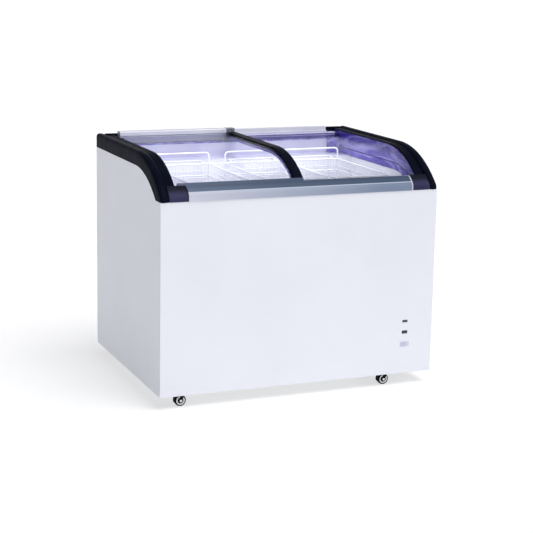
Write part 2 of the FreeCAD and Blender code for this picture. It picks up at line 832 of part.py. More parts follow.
def door(name, side, arc, profile_rear, profile_low, profile_high, foot_rear, foot_low):
    """One curved door. side is -1 for the left, outer door and 1 for the right, inner one.

    arc is the outer face of its glass, and the rest places its rear profile and foot.
    """
    low_arc, high_arc = "(%s - glass_thick)" % arc, arc
    low_trim, high_trim = "(%s - trim_lip)" % low_arc, "(%s + trim_lip)" % high_arc
    glass_edge = "(trim_half - trim_web)"
    low, high = span(side, negative(glass_edge), "door_side")
    glass = curved_band(low_arc, high_arc, "glass_rear", "glass_end")
    shape_between(new_body(name + "_glass"), "YZ", glass, low, high)

    trim = new_body(name + "_centre_trim")
    low, high = span(side, "-trim_half", "trim_half")
    outline = curved_band(low_trim, high_trim, "profile_front - 6", "profile_start")
    shape_between(trim, "YZ", outline, low, high)
    low, high = span(side, negative(glass_edge), "trim_half + 1")
    slot = curved_band(low_arc, high_arc, "glass_rear", "glass_end + 1")
    shape_between(trim, "YZ", slot, low, high, True)

    beam = document.addObject("PartDesign::Body", name + "_profile_beam")
    under, over = "door_zero + %s" % low_arc, "door_zero + %s" % high_arc
    outline = [
        ("profile_front", profile_low),
        (profile_rear, profile_low),
        (profile_rear, "%s - 3" % profile_high),
        ("%s - 3" % profile_rear, profile_high),
        ("profile_front + 3", profile_high),
        ("profile_front", "%s - 3" % profile_high),
        ("profile_front", over),
        ("glass_rear + 0.5", over),
        ("glass_rear + 0.5", under),
        ("profile_front", under),
    ]
    low, high = span(side, "cap_width - trim_half", "door_side - 3")
    shape_between(beam, "YZ", outline, low, high)
    foot_width = span(side, "cap_width - trim_half", "half_width - corner_width - 8")
    foot_depth = ("%s - 2" % foot_rear, "%s + 2" % foot_rear)
    foot = box(name + "_profile_foot", foot_width, foot_depth, (foot_low, profile_low))
    keep(name + "_rear_profile", group(name + "_rear_parts", [beam, foot]))

    front = new_body(name + "_front_profile")
    low, high = span(side, "-trim_half", "door_side - 3")
    outline = arc_piece(low_trim, high_trim, "profile_start", "profile_end")
    shape_between(front, "YZ", outline, low, high)
    low, high = span(side, negative(glass_edge), "door_side")
    slot = arc_piece(low_arc, high_arc, "profile_start - 1", "glass_end + 0.1")
    shape_between(front, "YZ", slot, low, high, True)
    foot_front = "arc_start - (%s) * sin(profile_end) + foot_thick + 0.5" % high_trim
    foot_high = "door_zero + (%s) * cos(profile_end)" % high_trim
    shoe = "%s - 14" % foot_high
    low, high = span(side, "-trim_half", "door_side - 3")
    foot = rectangle(("%s - foot_thick" % foot_front, foot_front), (shoe, foot_high))
    shape_between(front, "YZ", foot, low, high)

    cap_width = span(side, "-trim_half", "cap_width - trim_half - 0.2")
    block = box(name + "_cap_block", cap_width, ("profile_front", profile_rear),
                (profile_low, profile_high))
    notch_width = span(side, negative(glass_edge), "cap_width")
    notch = box(name + "_cap_notch", notch_width, ("profile_front - 1", "glass_rear + 0.5"),
                (under, over))
    rounded = document.addObject("Part::Fillet", name + "_cap_rounded")
    document.recompute()
    rounded.Base = block
    rounded.Edges = [(number, 5, 5) for number in upright_edges(block.Shape)]
    keep(name + "_corner_cap", cut(name + "_cap", rounded, [notch]))

    shoes = []
    for near in ("trim_half + 8", "door_side - 70"):
        x = span(side, near, "%s + 40" % near)
        y = ("%s - foot_thick - 1" % foot_front, "%s + 1" % foot_front)
        shoes.append(box(name + "_shoe", x, y, ("%s - 2" % shoe, shoe)))
        shoes.append(box(name + "_shoe", x, foot_depth, ("%s - 1" % foot_low, foot_low)))
    keep(name + "_glides", group(name + "_shoes", shoes))


def upright_edges(shape):
    """Numbers of the straight edges that stand upright, as a fillet wants them."""
    numbers = []
    for number, edge in enumerate(shape.Edges, start=1):
        way = edge.Vertexes[-1].Point - edge.Vertexes[0].Point
        if abs(way.z) > abs(way.x) + abs(way.y):
            numbers.append(number)
    return numbers


# ---- baskets ----------------------------------------------------------------------------


def basket_loop(middle, y, low):
    """Raised loop on a basket's rear: two legs, two bends and a bar, end to end."""
    reach, crest = value("loop_half"), value("loop_top")
    bend, radius = value("loop_bend"), value("loop_radius")
    rise, run = Vector(0, 0, 1), Vector(1, 0, 0)
    bar_start = Vector(middle - reach + bend, y, crest)
    solids = [Part.makeCylinder(radius, 2 * (reach - bend), bar_start, run)]
    for side in (-1, 1):
        foot = Vector(middle + side * reach, y, low)
        solids.append(Part.makeCylinder(radius, crest - bend - low, foot, rise))
        ring = Part.Wire(Part.Circle(Vector(foot.x, y, crest - bend), rise, radius).toShape())
        centre = Vector(foot.x - side * bend, y, crest - bend)
        solids.append(Part.Face(ring).revolve(centre, Vector(0, -side, 0), 90))
    return solids


def baskets():
    """Three open baskets of barred panels that hang on the rear ledge and the front lip."""
    wire, thick = value("basket_wire"), value("hook_thick")
    front, rear = value("basket_front"), value("basket_rear")
    low, top = value("basket_low"), value("basket_top")
    half = value("basket_half")
    for name in ("basket_left", "basket_centre", "basket_right"):
        middle = value(name + "_x")
        left, right = middle - half, middle + half
        along, back = Vector(right - left, 0, 0), Vector(0, rear - front, 0)
        inside, up = Vector(0, rear - front - 2 * wire, 0), Vector(0, 0, top - low - wire)
        panels = [flat_grid(Vector(left, front, low), along, back, (6, 11), wire)]
        for y in (front + wire, rear):
            panels.append(flat_grid(Vector(left, y, low + wire), along, up, (6, 6), wire))
        for x in (left, right - wire):
            corner = Vector(x, front + wire, low + wire)
            panels.append(flat_grid(corner, inside, up, (11, 6), wire))
        panels += basket_loop(middle, rear - wire / 2, top)
        reach, inset = value("loop_half"), value("hook_inset")
        ledge, lip = value("ledge_top") + 0.3, value("track_low + 21") + 0.3
        hook_wide = 2 * (reach - inset)
        hook_left = Vector(middle - reach + inset, rear - wire, 0)
        rear_hook, front_hook = value("rear_hook"), value("front_hook")
        panels += [
            Part.makeBox(hook_wide, wire, ledge - top, hook_left + Vector(0, 0, top)),
            Part.makeBox(hook_wide, rear_hook, thick, hook_left + Vector(0, 0, ledge)),
            Part.makeBox(2 * reach, front_hook, thick, Vector(middle - reach, front - front_hook, lip)),
        ]
        keep(name, solid_feature(name + "_panels", Part.makeCompound(panels)))


# ---- machine room ---------------------------------------------------------------------------


def compressor():
    """Sealed compressor: a domed pot with a seam, on a base plate."""
    place = ("compressor_x", "compressor_y")
    shell = rod("compressor_shell", "Z", place + ("pan_low + 24",), "150", "70")
    rounded = document.addObject("Part::Fillet", "compressor_domes")
    document.recompute()
    rounded.Base = shell
    rounded.Edges = [
        (number, 28, 28)
        for number, edge in enumerate(shell.Shape.Edges, start=1)
        if edge.Curve.TypeId == "Part::GeomCircle"
    ]
    seam = rod("compressor_seam", "Z", place + ("pan_low + 96",), "6", "75")
    base = box("compressor_base", ("compressor_x - 90", "compressor_x + 90"),
               ("compressor_y - 60", "compressor_y + 60"), ("pan_low + 20", "pan_low + 26"))
    holes = [
        rod("compressor_hole", "Z", (x, y, "pan_low + 18"), "10", "5.2")
        for x, y in mount_places()
    ]
    keep("compressor", cut("compressor_pot", join("compressor_body", [rounded, seam, base]), holes))


def mount_places():
    return [
        ("compressor_x + %d" % x, "compressor_y + %d" % y)
        for x in (-80, 80)
        for y in (-50, 50)
    ]


def compressor_mounts():
    """Rubber feet, each with a neck through the compressor's base plate."""
    feet = []
    for x, y in mount_places():
        pad = rod("mount_pad", "Z", (x, y, "pan_low + pan_thick"), "20 - pan_thick", "13")
        neck = rod("mount_neck", "Z", (x, y, "pan_low + 19"), "9", "5")
        crown = rod("mount_crown", "Z", (x, y, "pan_low + 26"), "3", "8")
        feet.append(join("mount", [pad, neck, crown]))
    keep("compressor_mounts", group("mounts", feet))


def terminal_box():
    """Cover of the compressor's terminals, on its side."""
    outer = box("terminal_outer", ("compressor_x - 25", "compressor_x + 25"),
                ("compressor_y + 60", "compressor_y + 98"), ("pan_low + 105", "pan_low + 155"))
    pot = rod("terminal_room", "Z", ("compressor_x", "compressor_y", "pan_low + 90"), "90", "75.2")
    keep("terminal_box", cut("terminal", outer, [pot]))


def condenser():
    """Finned coil: a tube in long hairpins through a stack of thin fins."""
    left, right = value("condenser_left"), value("condenser_right")
    front, rear = value("condenser_front"), value("condenser_rear")
    low, top = value("condenser_low"), value("condenser_top")
    radius = value("condenser_tube")
    middle = (front + rear) / 2
    heights = [low + (row + 0.5) * (top - low) / CONDENSER_ROWS for row in range(CONDENSER_ROWS)]
    points = []
    for row, height in enumerate(heights):
        ends = [Vector(left - 14, middle, height), Vector(right + 14, middle, height)]
        points += ends if row % 2 == 0 else ends[::-1]
    points[0].x -= 6
    points[-1].x -= 6
    solids = [tube_shape(points, 9, radius)]
    for fin in range(CONDENSER_FINS):
        x = left + fin * (right - left) / (CONDENSER_FINS - 1)
        edge = Part.makePolygon([Vector(x, front, low), Vector(x, rear, low), Vector(x, rear, top),
                                 Vector(x, front, top), Vector(x, front, low)])
        holes = [
            Part.Wire(Part.Circle(Vector(x, middle, height), Vector(1, 0, 0), radius + 0.1).toShape())
            for height in heights
        ]
        fin_face = Part.Face([edge] + holes, "Part::FaceMakerBullseye")
        solids.append(fin_face.extrude(Vector(1.2, 0, 0)))
    keep("condenser", solid_feature("condenser_coil", Part.makeCompound(solids)))


def fan():
    """Fan bracket with its motor behind it and the blade in front."""
    x, z = "fan_x", "fan_z"
    plate = box("fan_plate", ("fan_x - 85", "fan_x + 85"), ("fan_y", "fan_y + 2"),
                ("pan_low + pan_thick", "fan_z + 85"))
    opening = rod("fan_opening", "Y", (x, "fan_y - 1", z), "4", "75")
    ring = cut("fan_ring", plate, [opening])
    arms = [
        box("fan_arm", ("fan_x - 80", "fan_x + 80"), ("fan_y", "fan_y + 3"), ("fan_z - 4", "fan_z + 4")),
        box("fan_arm", ("fan_x - 4", "fan_x + 4"), ("fan_y", "fan_y + 3"), ("fan_z - 80", "fan_z + 80")),
        rod("fan_centre", "Y", (x, "fan_y", z), "3", "24"),
    ]
    hole = rod("fan_shaft_room", "Y", (x, "fan_y - 1", z), "6", "5")
    keep("fan_bracket", cut("fan_frame", join("fan_spider", [ring] + arms), [hole]))

    pot = rod("motor_pot", "Y", (x, "fan_y + 3", z), "42", "27")
    shaft = rod("motor_shaft", "Y", (x, "fan_y - 26", z), "30", "shaft_radius")
    keep("fan_motor", join("motor", [pot, shaft]))

    hub = rod("blade_hub", "Y", (x, "fan_y - 24", z), "20", "15")
    parts = [hub]
    centre = Vector(value("fan_x"), value("fan_y - 14"), value("fan_z"))
    for blade in range(FAN_BLADES):
        wing = document.addObject("Part::Box", "blade_wing")
        wing.setExpression("Length", bound("fan_reach"))
        wing.Width = 1.6
        wing.Height = 30
        around = Rotation(Vector(0, 1, 0), blade * 360 / FAN_BLADES)
        pitch = Rotation(Vector(1, 0, 0), 58)
        wing.Placement = Placement(centre, around.multiply(pitch)).multiply(
            Placement(Vector(8, -0.8, -15), Rotation())
        )
        parts.append(wing)
    bore = rod("blade_bore", "Y", (x, "fan_y - 40", z), "60", "shaft_radius + running_gap")
    keep("fan_blade", cut("blade", join("blade_whole", parts), [bore]))


def filter_drier():
    """Filter drier, a copper cylinder with coned ends, in the liquid line."""
    z = DRIER_Z
    body = rod("drier_body", "Y", ("drier_x", "drier_front + 14", z), "72", "drier_radius")
    parts = [body]
    for name, start, narrow, wide in (
        ("drier_inlet", "drier_front", "condenser_tube", "drier_radius"),
        ("drier_outlet", "drier_front + 86", "drier_radius", "condenser_tube"),
    ):
        cone = document.addObject("Part::Cone", name)
        cone.setExpression("Radius1", bound(narrow))
        cone.setExpression("Radius2", bound(wide))
        cone.Height = 14
        cone.Placement = Placement(Vector(), Rotation(Vector(1, 0, 0), -90))
        for letter, place in zip("xyz", ("drier_x", start, z)):
            cone.setExpression("Placement.Base.%s" % letter, bound(place))
        parts.append(cone)
    keep("filter_drier", join("drier", parts))


def refrigerant_pipes():
    """Copper pipes: delivery, liquid line, capillary and suction."""
    x, y = value("compressor_x"), value("compressor_y")
    low, side, radius = value("pan_low"), value("drier_x"), value("condenser_tube")
    middle = value("(condenser_front + condenser_rear) / 2")
    first, last = value("condenser_low + %s" % ROW_RISE), value(DRIER_Z)
    coil_end = value("condenser_left") - 20
    ceiling = value("room_top")
    front = value("drier_front")
    delivery = [
        Vector(x - 70, y, low + 70),
        Vector(side, y, low + 70),
        Vector(side, middle, low + 70),
        Vector(side, middle, first),
        Vector(coil_end, middle, first),
    ]
    liquid = [Vector(coil_end, middle, last), Vector(side, middle, last), Vector(side, front, last)]
    capillary = [
        Vector(side, front + 100, last),
        Vector(side, front + 150, last),
        Vector(side, front + 150, ceiling),
    ]
    suction = [Vector(x, y - 100, ceiling), Vector(x, y - 100, low + 80), Vector(x, y - 70, low + 80)]
    runs = (delivery, liquid, capillary, suction)
    tubes = [tube_shape(run, 5, radius) for run in runs]
    keep("refrigerant_pipes", solid_feature("pipes", Part.makeCompound(tubes)))


def rear_grille():
    """Slotted cover of the machine room's opening in the rear panel."""
    corner = Vector(value("grille_left"), value("half_depth"), value("grille_low"))
    across = Vector(value("grille_right - grille_left"), 0, 0)
    up = Vector(0, 0, value("grille_high - grille_low"))
    keep("rear_grille", solid_feature("grille", flat_grid(corner, across, up, (3, 14), 4)))


# ---- controls, gland and drain ----------------------------------------------------------


def controls():
    """Lamp, rocker switch in its housing and thermostat dial in its body."""
    x = "control_x"
    lens = box("lens", (x + " - 10", x + " + 10"), ("panel_face - 0.8", "panel_face + 5"),
               ("lens_z - 4", "lens_z + 4"))
    keep("indicator_lens", lens)

    outer = box("housing_outer", (x + " - 10.5", x + " + 10.5"), ("panel_face + 0.2", "panel_face + 22"),
                ("switch_z - 5.5", "switch_z + 5.5"))
    room = box("housing_room", (x + " - 9", x + " + 9"), ("panel_face - 1", "panel_face + 14"),
               ("switch_z - 4.2", "switch_z + 4.2"))
    pivot = rod("housing_pivot", "Z", (x, "panel_face + 6", "switch_z - 5.2"), "10.4", "1 + running_gap")
    keep("switch_housing", cut("housing", outer, [room, pivot]))

    paddle = box("paddle", (x + " - 7.4", x + " + 7.4"), ("panel_face - 0.8", "panel_face + 10"),
                 ("switch_z - 3.8", "switch_z + 3.8"))
    pin = rod("paddle_pin", "Z", (x, "panel_face + 6", "switch_z - 5"), "10", "1")
    keep("rocker_switch", join("rocker", [paddle, pin]))

    outer = box("thermostat_outer", (x + " - 17", x + " + 17"), ("panel_face + 0.2", "panel_face + 27"),
                ("dial_z - 8.5", "dial_z + 8.5"))
    room = rod("thermostat_room", "Y", (x, "panel_face - 1", "dial_z"), "15", "dial_radius - 1.3")
    stem_hole = rod("thermostat_bore", "Y", (x, "panel_face + 10", "dial_z"), "12", "2 + running_gap")
    keep("thermostat_body", cut("thermostat", outer, [room, stem_hole]))

    disc = rod("dial_disc", "Y", (x, "panel_face - 1.5", "dial_z"), "14", "dial_radius - 1.5")
    stem = rod("dial_stem", "Y", (x, "panel_face + 10", "dial_z"), "10", "2")
    slot = box("dial_slot", (x + " - 0.9", x + " + 0.9"), ("panel_face - 2", "panel_face + 0.5"),
               ("dial_z - 5", "dial_z + 5"))
    keep("thermostat_dial", cut("dial", join("dial_whole", [disc, stem]), [slot]))


def power_gland():
    """Rubber grommet of the mains lead, in the rear panel."""
    place = ("gland_x", "half_depth - 9", "gland_z")
    body = rod("gland_body", "Y", place, "9", "7.5")
    flange = rod("gland_flange", "Y", ("gland_x", "half_depth - 5", "gland_z"), "3.8", "11")
    bore = rod("gland_bore", "Y", ("gland_x", "half_depth - 20", "gland_z"), "30", "3.5")
    keep("power_gland", cut("gland", join("gland_whole", [body, flange]), [bore]))


def drain_plug():
    """Plug of the drain in the tub's floor: it pulls out upwards."""
    stem = rod("plug_stem", "Z", ("drain_x", "drain_y", "tub_floor - 8"), "9", "drain_radius - 0.5")
    rim = rod("plug_rim", "Z", ("drain_x", "drain_y", "tub_floor + 0.3"), "4", "drain_radius + 4")
    keep("drain_plug", join("plug", [stem, rim]))


# ---- casters ------------------------------------------------------------------------------


CASTERS = {
    "front_left": ("caster_left", "-caster_y"),
    "front_right": ("caster_right", "-caster_y"),
    "rear_left": ("caster_left", "caster_y"),
    "rear_right": ("caster_right", "caster_y"),
}


def caster_mounts():
    """Four plates with their king pins, and the bolts that hold them."""
    plates, bolts = [], []
    for x, y in CASTERS.values():
        plate = box("caster_plate", (x + " - 30", x + " + 30"), (y + " - 25", y + " + 25"),
                    ("pan_low - 2.5", "pan_low"))
        pin = rod("king_pin", "Z", (x, y, "2 * wheel_radius + 1"),
                  "pan_low - 2 * wheel_radius - 2", "pin_radius")
        head = rod("king_pin_head", "Z", (x, y, "2 * wheel_radius + 0.4"), "1.1", "pin_radius + 2.5")
        plates.append(join("caster_seat", [plate, pin, head]))
        for across in (-24, 24):
            for along in (-19, 19):
                place = ("%s + %d" % (x, across), "%s + %d" % (y, along))
                head = rod("bolt_head", "Z", place + ("pan_low - 5.5",), "3", "4.5")
                bolts.append(head)
    keep("caster_plates", group("caster_seats", plates))
    keep("caster_bolts", group("caster_bolt_heads", bolts))


def casters():
    """Each caster is a fork that swivels on its king pin and a wheel on the fork's axle."""
    top = "2 * wheel_radius + 3.7"
    for place, (x, y) in CASTERS.items():
        hub = "%s + caster_trail" % x
        fork = new_body("caster_fork_" + place)
        leg = [
            (x + " - 14", top),
            (x + " - 14", top + " - 4"),
            (hub + " - 7", "wheel_radius", "7", 1),
            (hub, "wheel_radius - 7", "7", 1),
            (hub + " + 7", "wheel_radius"),
            (hub + " + 7", top),
        ]
        cheeks = ("- wheel_half - 4", "- wheel_half - 1.5"), ("+ wheel_half + 1.5", "+ wheel_half + 4")
        for near, far in cheeks:
            shape_between(fork, "XZ", leg, "%s %s" % (y, near), "%s %s" % (y, far))
        crown = rectangle((x + " - 14", hub + " + 7"), (top + " - 2", top))
        shape_between(fork, "XZ", crown, y + " - wheel_half - 4", y + " + wheel_half + 4")
        shape_between(fork, "XY", circle(x, y, "17"), top + " - 0.5", "pan_low - 3")
        axle = circle(hub, "wheel_radius", "axle_radius")
        shape_between(fork, "XZ", axle, y + " - wheel_half - 5.5", y + " + wheel_half + 5.5")
        bore = circle(x, y, "pin_radius + running_gap")
        shape_between(fork, "XY", bore, top + " - 3", "pan_low", True)

        wheel = new_body("caster_wheel_" + place)
        tread = circle(hub, "wheel_radius", "wheel_radius")
        shape_between(wheel, "XZ", tread, y + " - wheel_half", y + " + wheel_half")
        dish = circle(hub, "wheel_radius", "13.5")
        shape_between(wheel, "XZ", dish, y + " - wheel_half - 1", y + " - wheel_half + 2", True)
        shape_between(wheel, "XZ", dish, y + " + wheel_half - 2", y + " + wheel_half + 1", True)
        boss = circle(hub, "wheel_radius", "6")
        shape_between(wheel, "XZ", boss, y + " - wheel_half - 0.8", y + " + wheel_half + 0.8")
        bore = circle(hub, "wheel_radius", "axle_radius + running_gap")
        shape_between(wheel, "XZ", bore, y + " - wheel_half - 2", y + " + wheel_half + 2", True)


# ---- the whole freezer ----------------------------------------------------------------------


def build():
    front_panel()
    side_panels()
    rear_panel()
    base_pan()
    insulation_foam()
    inner_liner()
    evaporator_tube()
    end_frames()
    frame_screws()
    end_linings()
    front_rail()
    front_track()
    rear_rail()
    rear_track()
    door("left_door", -1, "outer_glass", "(return_face - 2)", "rail_step + 1.5", "850",
         "rail_groove", "rail_step - 7.3")
    door("right_door", 1, "inner_glass", "(rail_front - 2)", "track_rear_top + 2", "825",
         "inner_groove", "track_rear_top - 8.3")
    baskets()
    compressor()
    compressor_mounts()
    terminal_box()
    condenser()
    fan()
    filter_drier()
    refrigerant_pipes()
    rear_grille()
    controls()
    power_gland()
    drain_plug()
    caster_mounts()
    casters()


def check_and_write():
    document.recompute()
    faults = []
    for feature in document.Objects:
        if {"Invalid", "Error"} & set(feature.State):
            faults.append("%s: %s" % (feature.Label, feature.State))
    for label, feature in pieces.items():
        if feature.Shape.isNull() or not feature.Shape.isValid() or not feature.Shape.Solids:
            faults.append("%s: no valid shape" % label)
    if faults:
        raise RuntimeError("; ".join(faults))
    os.makedirs("parts", exist_ok=True)
    for label, feature in pieces.items():
        feature.Shape.exportStep("parts/%s.step" % label)
        box_now = feature.Shape.BoundBox
        print("%-26s solids %3d  volume %11.0f  x %7.1f %7.1f  y %7.1f %7.1f  z %6.1f %6.1f" % (
            label, len(feature.Shape.Solids), feature.Shape.Volume, box_now.XMin, box_now.XMax,
            box_now.YMin, box_now.YMax, box_now.ZMin, box_now.ZMax))


build()
check_and_write()
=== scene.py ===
"""Looks of the chest display freezer: materials, detailed pieces, stage, lights and camera.

Pieces are worked out in millimetres and made in metres, in the frame of the CAD model: X runs
along the front, +Y points to the rear and +Z up, from the floor under the cabinet's middle.
"""

import json
import math

import bmesh
import bpy
from mathutils import Matrix, Vector


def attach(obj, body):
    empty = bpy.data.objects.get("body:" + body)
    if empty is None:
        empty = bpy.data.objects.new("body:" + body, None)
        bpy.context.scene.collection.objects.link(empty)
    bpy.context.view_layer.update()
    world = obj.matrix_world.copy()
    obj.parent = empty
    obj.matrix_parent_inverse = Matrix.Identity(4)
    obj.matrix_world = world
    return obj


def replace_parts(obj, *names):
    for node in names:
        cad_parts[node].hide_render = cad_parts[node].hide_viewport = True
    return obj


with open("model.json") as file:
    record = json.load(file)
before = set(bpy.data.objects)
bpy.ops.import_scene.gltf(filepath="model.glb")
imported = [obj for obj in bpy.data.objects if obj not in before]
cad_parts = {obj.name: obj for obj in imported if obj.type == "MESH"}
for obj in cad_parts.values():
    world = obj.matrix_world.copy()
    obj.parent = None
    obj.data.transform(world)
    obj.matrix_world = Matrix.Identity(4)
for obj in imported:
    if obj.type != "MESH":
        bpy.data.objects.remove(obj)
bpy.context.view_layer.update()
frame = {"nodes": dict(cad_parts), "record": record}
nodes = frame["nodes"]
scene = bpy.context.scene
MM = 0.001


# ---- node helpers ------------------------------------------------------------------------


def colour(red, green, blue):
    """A display colour, 0 to 255 a channel, as the linear colour that a shader takes."""
    linear = []
    for part in (red, green, blue):
        part /= 255
        linear.append(part / 12.92 if part <= 0.04045 else ((part + 0.055) / 1.055) ** 2.4)
    return (*linear, 1)


def add_node(tree, kind, inputs=(), **settings):
    """A shader node with its settings, its inputs either linked or set to a value."""
    made = tree.nodes.new("ShaderNode" + kind)
    for key, value in settings.items():
        setattr(made, key, value)
    for key, value in dict(inputs).items():
        if isinstance(value, bpy.types.NodeSocket):
            tree.links.new(value, made.inputs[key])
        else:
            made.inputs[key].default_value = value
    return made


def start_material(name, **inputs):
    """A new material with its principled shader's even inputs set. Names use _ for a space."""
    material = bpy.data.materials.new(name)
    material.use_nodes = True
    tree = material.node_tree
    shader = tree.nodes["Principled BSDF"]
    for key, value in inputs.items():
        shader.inputs[key.replace("_", " ")].default_value = value
    return material, tree, shader


def places(tree, stretch=(1, 1, 1), turn=(0, 0, 0)):
    """Object coordinates in metres, turned by turn in radians and times stretch."""
    where = add_node(tree, "TexCoord").outputs["Object"]
    inputs = {"Vector": where, "Scale": stretch, "Rotation": turn}
    return add_node(tree, "Mapping", inputs).outputs["Vector"]


def along_axis(tree, letter):
    """One object coordinate in metres."""
    where = add_node(tree, "TexCoord").outputs["Object"]
    return add_node(tree, "SeparateXYZ", {0: where}).outputs[letter]


def mix_colours(tree, factor, first, second, **settings):
    inputs = {"Factor": factor, 6: first, 7: second}
    made = add_node(tree, "Mix", inputs, data_type="RGBA", **settings)
    return made.outputs[2]


def noise(tree, where, scale, detail=2.0, distortion=0.0):
    inputs = {"Vector": where, "Scale": scale, "Detail": detail, "Distortion": distortion}
    return add_node(tree, "TexNoise", inputs).outputs["Fac"]


def ramp(tree, factor, stops):
    """A colour ramp through pairs of a place and a colour."""
    made = add_node(tree, "ValToRGB", {"Fac": factor})
    marks = made.color_ramp.elements
    while len(marks) < len(stops):
        marks.new(0.5)
    for mark, (place, shade) in zip(marks, stops):
        mark.position = place
        mark.color = shade
    return made.outputs["Color"]


def spread(tree, factor, low, high, start=0.3, end=0.7):
    """The factor between start and end, brought to low to high and held there outside."""
    inputs = {"Value": factor, "From Min": start, "From Max": end, "To Min": low, "To Max": high}
    return add_node(tree, "MapRange", inputs).outputs["Result"]


def roughen(tree, shader, height, strength, depth):
    """Bump on the shader from a height, depth in metres."""
    inputs = {"Height": height, "Strength": strength, "Distance": depth}
    tree.links.new(add_node(tree, "Bump", inputs).outputs["Normal"], shader.inputs["Normal"])


def mottled(name, dark, light, rough, patch=9.0, grain=900.0, bump=0.15, depth=0.0002,
            stretch=(1, 1, 1), **inputs):
    """A finish whose colour drifts between two shades, with uneven gloss and a fine grain."""
    material, tree, shader = start_material(name, **inputs)
    where = places(tree, stretch)
    drift = noise(tree, where, patch, 3.0, 0.4)
    tree.links.new(ramp(tree, drift, [(0.32, dark), (0.68, light)]), shader.inputs["Base Color"])
    wear = noise(tree, where, patch * 4, 4.0)
    tree.links.new(spread(tree, wear, *rough), shader.inputs["Roughness"])
    roughen(tree, shader, noise(tree, where, grain, 2.0), bump, depth)
    return material


# ---- materials ---------------------------------------------------------------------------


def zinc():
    """Galvanised sheet with its spangle."""
    material, tree, shader = start_material("zinc_steel", Metallic=1.0)
    where = places(tree)
    cells = add_node(tree, "TexVoronoi", {"Vector": where, "Scale": 90.0}).outputs["Color"]
    grey = add_node(tree, "RGBToBW", {"Color": cells}).outputs["Val"]
    shades = [(0.2, colour(150, 154, 160)), (0.8, colour(196, 199, 204))]
    tree.links.new(ramp(tree, grey, shades), shader.inputs["Base Color"])
    tree.links.new(spread(tree, grey, 0.32, 0.55), shader.inputs["Roughness"])
    roughen(tree, shader, noise(tree, where, 700.0), 0.1, 0.0002)
    return material


def foam():
    """Yellowish rigid foam with its cells."""
    material, tree, shader = start_material("foam", Roughness=0.9)
    where = places(tree)
    cells = add_node(tree, "TexVoronoi", {"Vector": where, "Scale": 450.0}).outputs["Distance"]
    shades = [(0.0, colour(200, 184, 128)), (0.6, colour(236, 224, 178))]
    tree.links.new(ramp(tree, cells, shades), shader.inputs["Base Color"])
    roughen(tree, shader, cells, 0.5, 0.0006)
    return material


def violet():
    """Glossy violet moulding with pale wavy streaks of painted highlight in its colour."""
    material, tree, shader = start_material(
        "violet_moulding", Coat_Weight=0.3, Coat_Roughness=0.08, Specular_IOR_Level=0.35)
    where = places(tree, (1.0, 0.36, 1.7), (0.14, 0, 0))
    swirl = noise(tree, where, 8.0, 1.5, 1.5)
    # The pale stops at 0.56 and 0.60 are painted highlights: wavy streaks of reflected light.
    shades = [
        (0.34, colour(58, 40, 156)),
        (0.45, colour(76, 58, 172)),
        (0.51, colour(92, 76, 182)),
        (0.56, colour(146, 133, 216)),
        (0.60, colour(152, 140, 218)),
        (0.65, colour(84, 67, 176)),
        (0.75, colour(108, 92, 194)),
    ]
    tree.links.new(ramp(tree, swirl, shades), shader.inputs["Base Color"])
    tree.links.new(spread(tree, noise(tree, where, 30.0), 0.2, 0.34), shader.inputs["Roughness"])
    roughen(tree, shader, swirl, 0.08, 0.002)
    return material


# Used to paint light and shade on the corner blocks and the liner.
def split_at_height(name, low, high, edge, blend, rough, **inputs):
    """A finish whose colour changes at the height edge, from the pair low to the pair high.

    Each pair is two shades to drift between. edge and blend are in metres.
    """
    material, tree, shader = start_material(name, **inputs)
    height = spread(tree, along_axis(tree, "Z"), 0.0, 1.0, edge - blend, edge + blend)
    drift = noise(tree, places(tree), 9.0, 3.0)
    pair = []
    for dark, light in (low, high):
        pair.append(ramp(tree, drift, [(0.35, dark), (0.65, light)]))
    tree.links.new(mix_colours(tree, height, *pair), shader.inputs["Base Color"])
    wear = noise(tree, places(tree), 40.0)
    tree.links.new(spread(tree, wear, *rough), shader.inputs["Roughness"])
    roughen(tree, shader, noise(tree, places(tree), 1300.0), 0.1, 0.0002)
    return material


